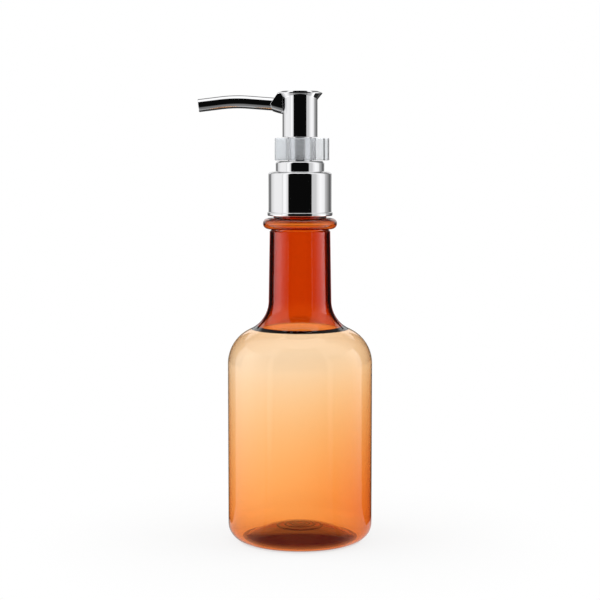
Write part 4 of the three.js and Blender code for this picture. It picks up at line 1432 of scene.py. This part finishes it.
# %% What the chrome sees
MIRROR_TABLE = (
    (-180, 0.3), (-140, 0.2), (-134, 0.3), (-126, 0.9), (-104, 1.2), (-72, 1.2), (-66, 1.0),
    (-62, 1.35), (-54, 1.35), (-44, 0.9), (-42, 0.004),
    (42, 0.004), (44, 0.8), (60, 0.85), (66, 1.1), (80, 1.35),
    (100, 1.2), (106, 0.7), (116, 0.5), (128, 0.3), (136, 0.12), (180, 0.3),
)
MIRROR_FLOOR = (
    (-180, 0.05), (-135, 0.05), (-115, 0.62), (-50, 0.62), (-35, 0.25),
    (35, 0.25), (50, 0.62), (115, 0.62), (135, 0.05), (180, 0.05),
)
MIRROR_FADE = ((0, 1), (0.18, 1))
MIRROR_BACK = (
    (-10, 0.05), (-5, 0.05), (-4, 0.28), (3, 0.28), (4, 1.0), (24, 1.0), (30, 0.2), (61, 0.2),
)
mirror_tent = tent_mesh(
    "mirror_tent", MIRROR_TABLE, MIRROR_FLOOR, MIRROR_FADE, MIRROR_BACK,
    far_reach=0.32, back_start=140, high_share=1.0, top=1.45,
)
add_stage("mirror_tent", mirror_tent, glow, MIRRORS_ONLY)
print("mirror tent:", len(mirror_tent.polygons), "faces")

# %% What is seen through the amber and the clip
WINDOW_TABLE = (
    (-180, 0.02), (-106, 0.02), (-102, 1.2), (-62, 1.2), (-44, 0.9), (-42, 0.12),
    (42, 0.12), (44, 0.8), (60, 1.2), (102, 1.2), (106, 0.02), (180, 0.02),
)
WINDOW_FLOOR = ((-180, 1), (180, 1))
WINDOW_FADE = ((0.08, 1.43), (0.26, 1.27), (0.6, 1.07), (0.85, 1.11))
WINDOW_BACK = ((-10, 1.4), (-5, 1.4), (-4, 0.87), (61, 0.87))
window_tent = tent_mesh(
    "window_tent", WINDOW_TABLE, WINDOW_FLOOR, WINDOW_FADE, WINDOW_BACK,
    far_reach=1.0, back_start=161, high_share=0.2, top=0.3,
)
add_stage("window_tent", window_tent, glow, GLASS_ONLY)
print("window tent:", len(window_tent.polygons), "faces")

# %% What the amber mirrors
CARD_RADIUS = 0.1
CARD_FOOT = 0.055
FOOT_LEVEL = 0.62
SIDE_HEIGHT = 0.134
BACK_HEIGHT = 0.1
LEFT_CARD = (
    (-110, 0.02), (-107, 1.6), (-99, 1.95), (-88, 2.6), (-78, 2.9), (-69, 2.3), (-61, 1.35),
    (-52, 0.77), (-45, 0.08),
)
RIGHT_CARD = (
    (45, 0.1), (52, 0.33), (61, 0.67), (70, 1.28), (79, 2.1), (90, 3.0), (98, 3.0), (102, 0.02),
)
DARK_CARDS = (((-150, 0.03), (-110, 0.02)), ((102, 0.02), (150, 0.03)))
BACK_CARDS = (((-172, 0.06), (-150, 0.03)), ((150, 0.03), (172, 0.06)))


def add_card(name, table, height):
    """An upright curved card beside the bottle, with a foot on the floor that reaches in towards the
    bottle. Its level follows the bearing, and the foot is never brighter than a limit."""
    bearing = np.linspace(table[0][0], table[-1][0], 181)[None, :]
    level = look_up(bearing, table)
    foot_level = np.minimum(level, FOOT_LEVEL)
    radius = np.array([[CARD_FOOT], [CARD_RADIUS], [CARD_RADIUS]])
    heights = np.array([[2 * TENT_FLOOR], [2 * TENT_FLOOR], [height]])
    levels = np.concatenate([foot_level, foot_level, level])
    card = level_mesh(name, round_points(bearing, radius, heights), levels)
    add_stage(name, card, glow, MIRRORS_ONLY)


add_card("left_card", LEFT_CARD, SIDE_HEIGHT)
add_card("right_card", RIGHT_CARD, SIDE_HEIGHT)
for side, dark, back in zip(("left", "right"), DARK_CARDS, BACK_CARDS):
    add_card(side + "_dark_card", dark, SIDE_HEIGHT)
    add_card(side + "_back_card", back, BACK_HEIGHT)
print("cards stand", CARD_RADIUS, "m from the axis")

# %% [markdown]
# ## Lamps
#
# Two large soft lamps, one on each side, light what is matt: the paper, the clip and the plastic
# inside. Rays that mirrors or glass send out pass through them, as the tents stand for them there.

# %% Lamps
BOX_DISTANCE = 0.95
BOX_HEIGHT = 0.75


def add_soft_box(name, side, middle, size, watts):
    """A large lamp to one side of the bottle, facing it."""
    lamp = bpy.data.lights.new(name, "AREA")
    lamp.shape = "RECTANGLE"
    lamp.size, lamp.size_y = size
    lamp.energy = watts
    box = bpy.data.objects.new(name, lamp)
    box.location = (side * BOX_DISTANCE, middle, BOX_HEIGHT)
    box.rotation_euler = (np.radians(90), 0, np.radians(90) * side)
    box.visible_camera = False
    box.visible_glossy = False
    box.visible_transmission = False
    scene.collection.objects.link(box)


add_soft_box("left_box", -1, -0.12, (1.5, 1.5), 12.0)
add_soft_box("right_box", 1, -0.1, (1.2, 1.5), 9.0)
print("lamps: two soft boxes")
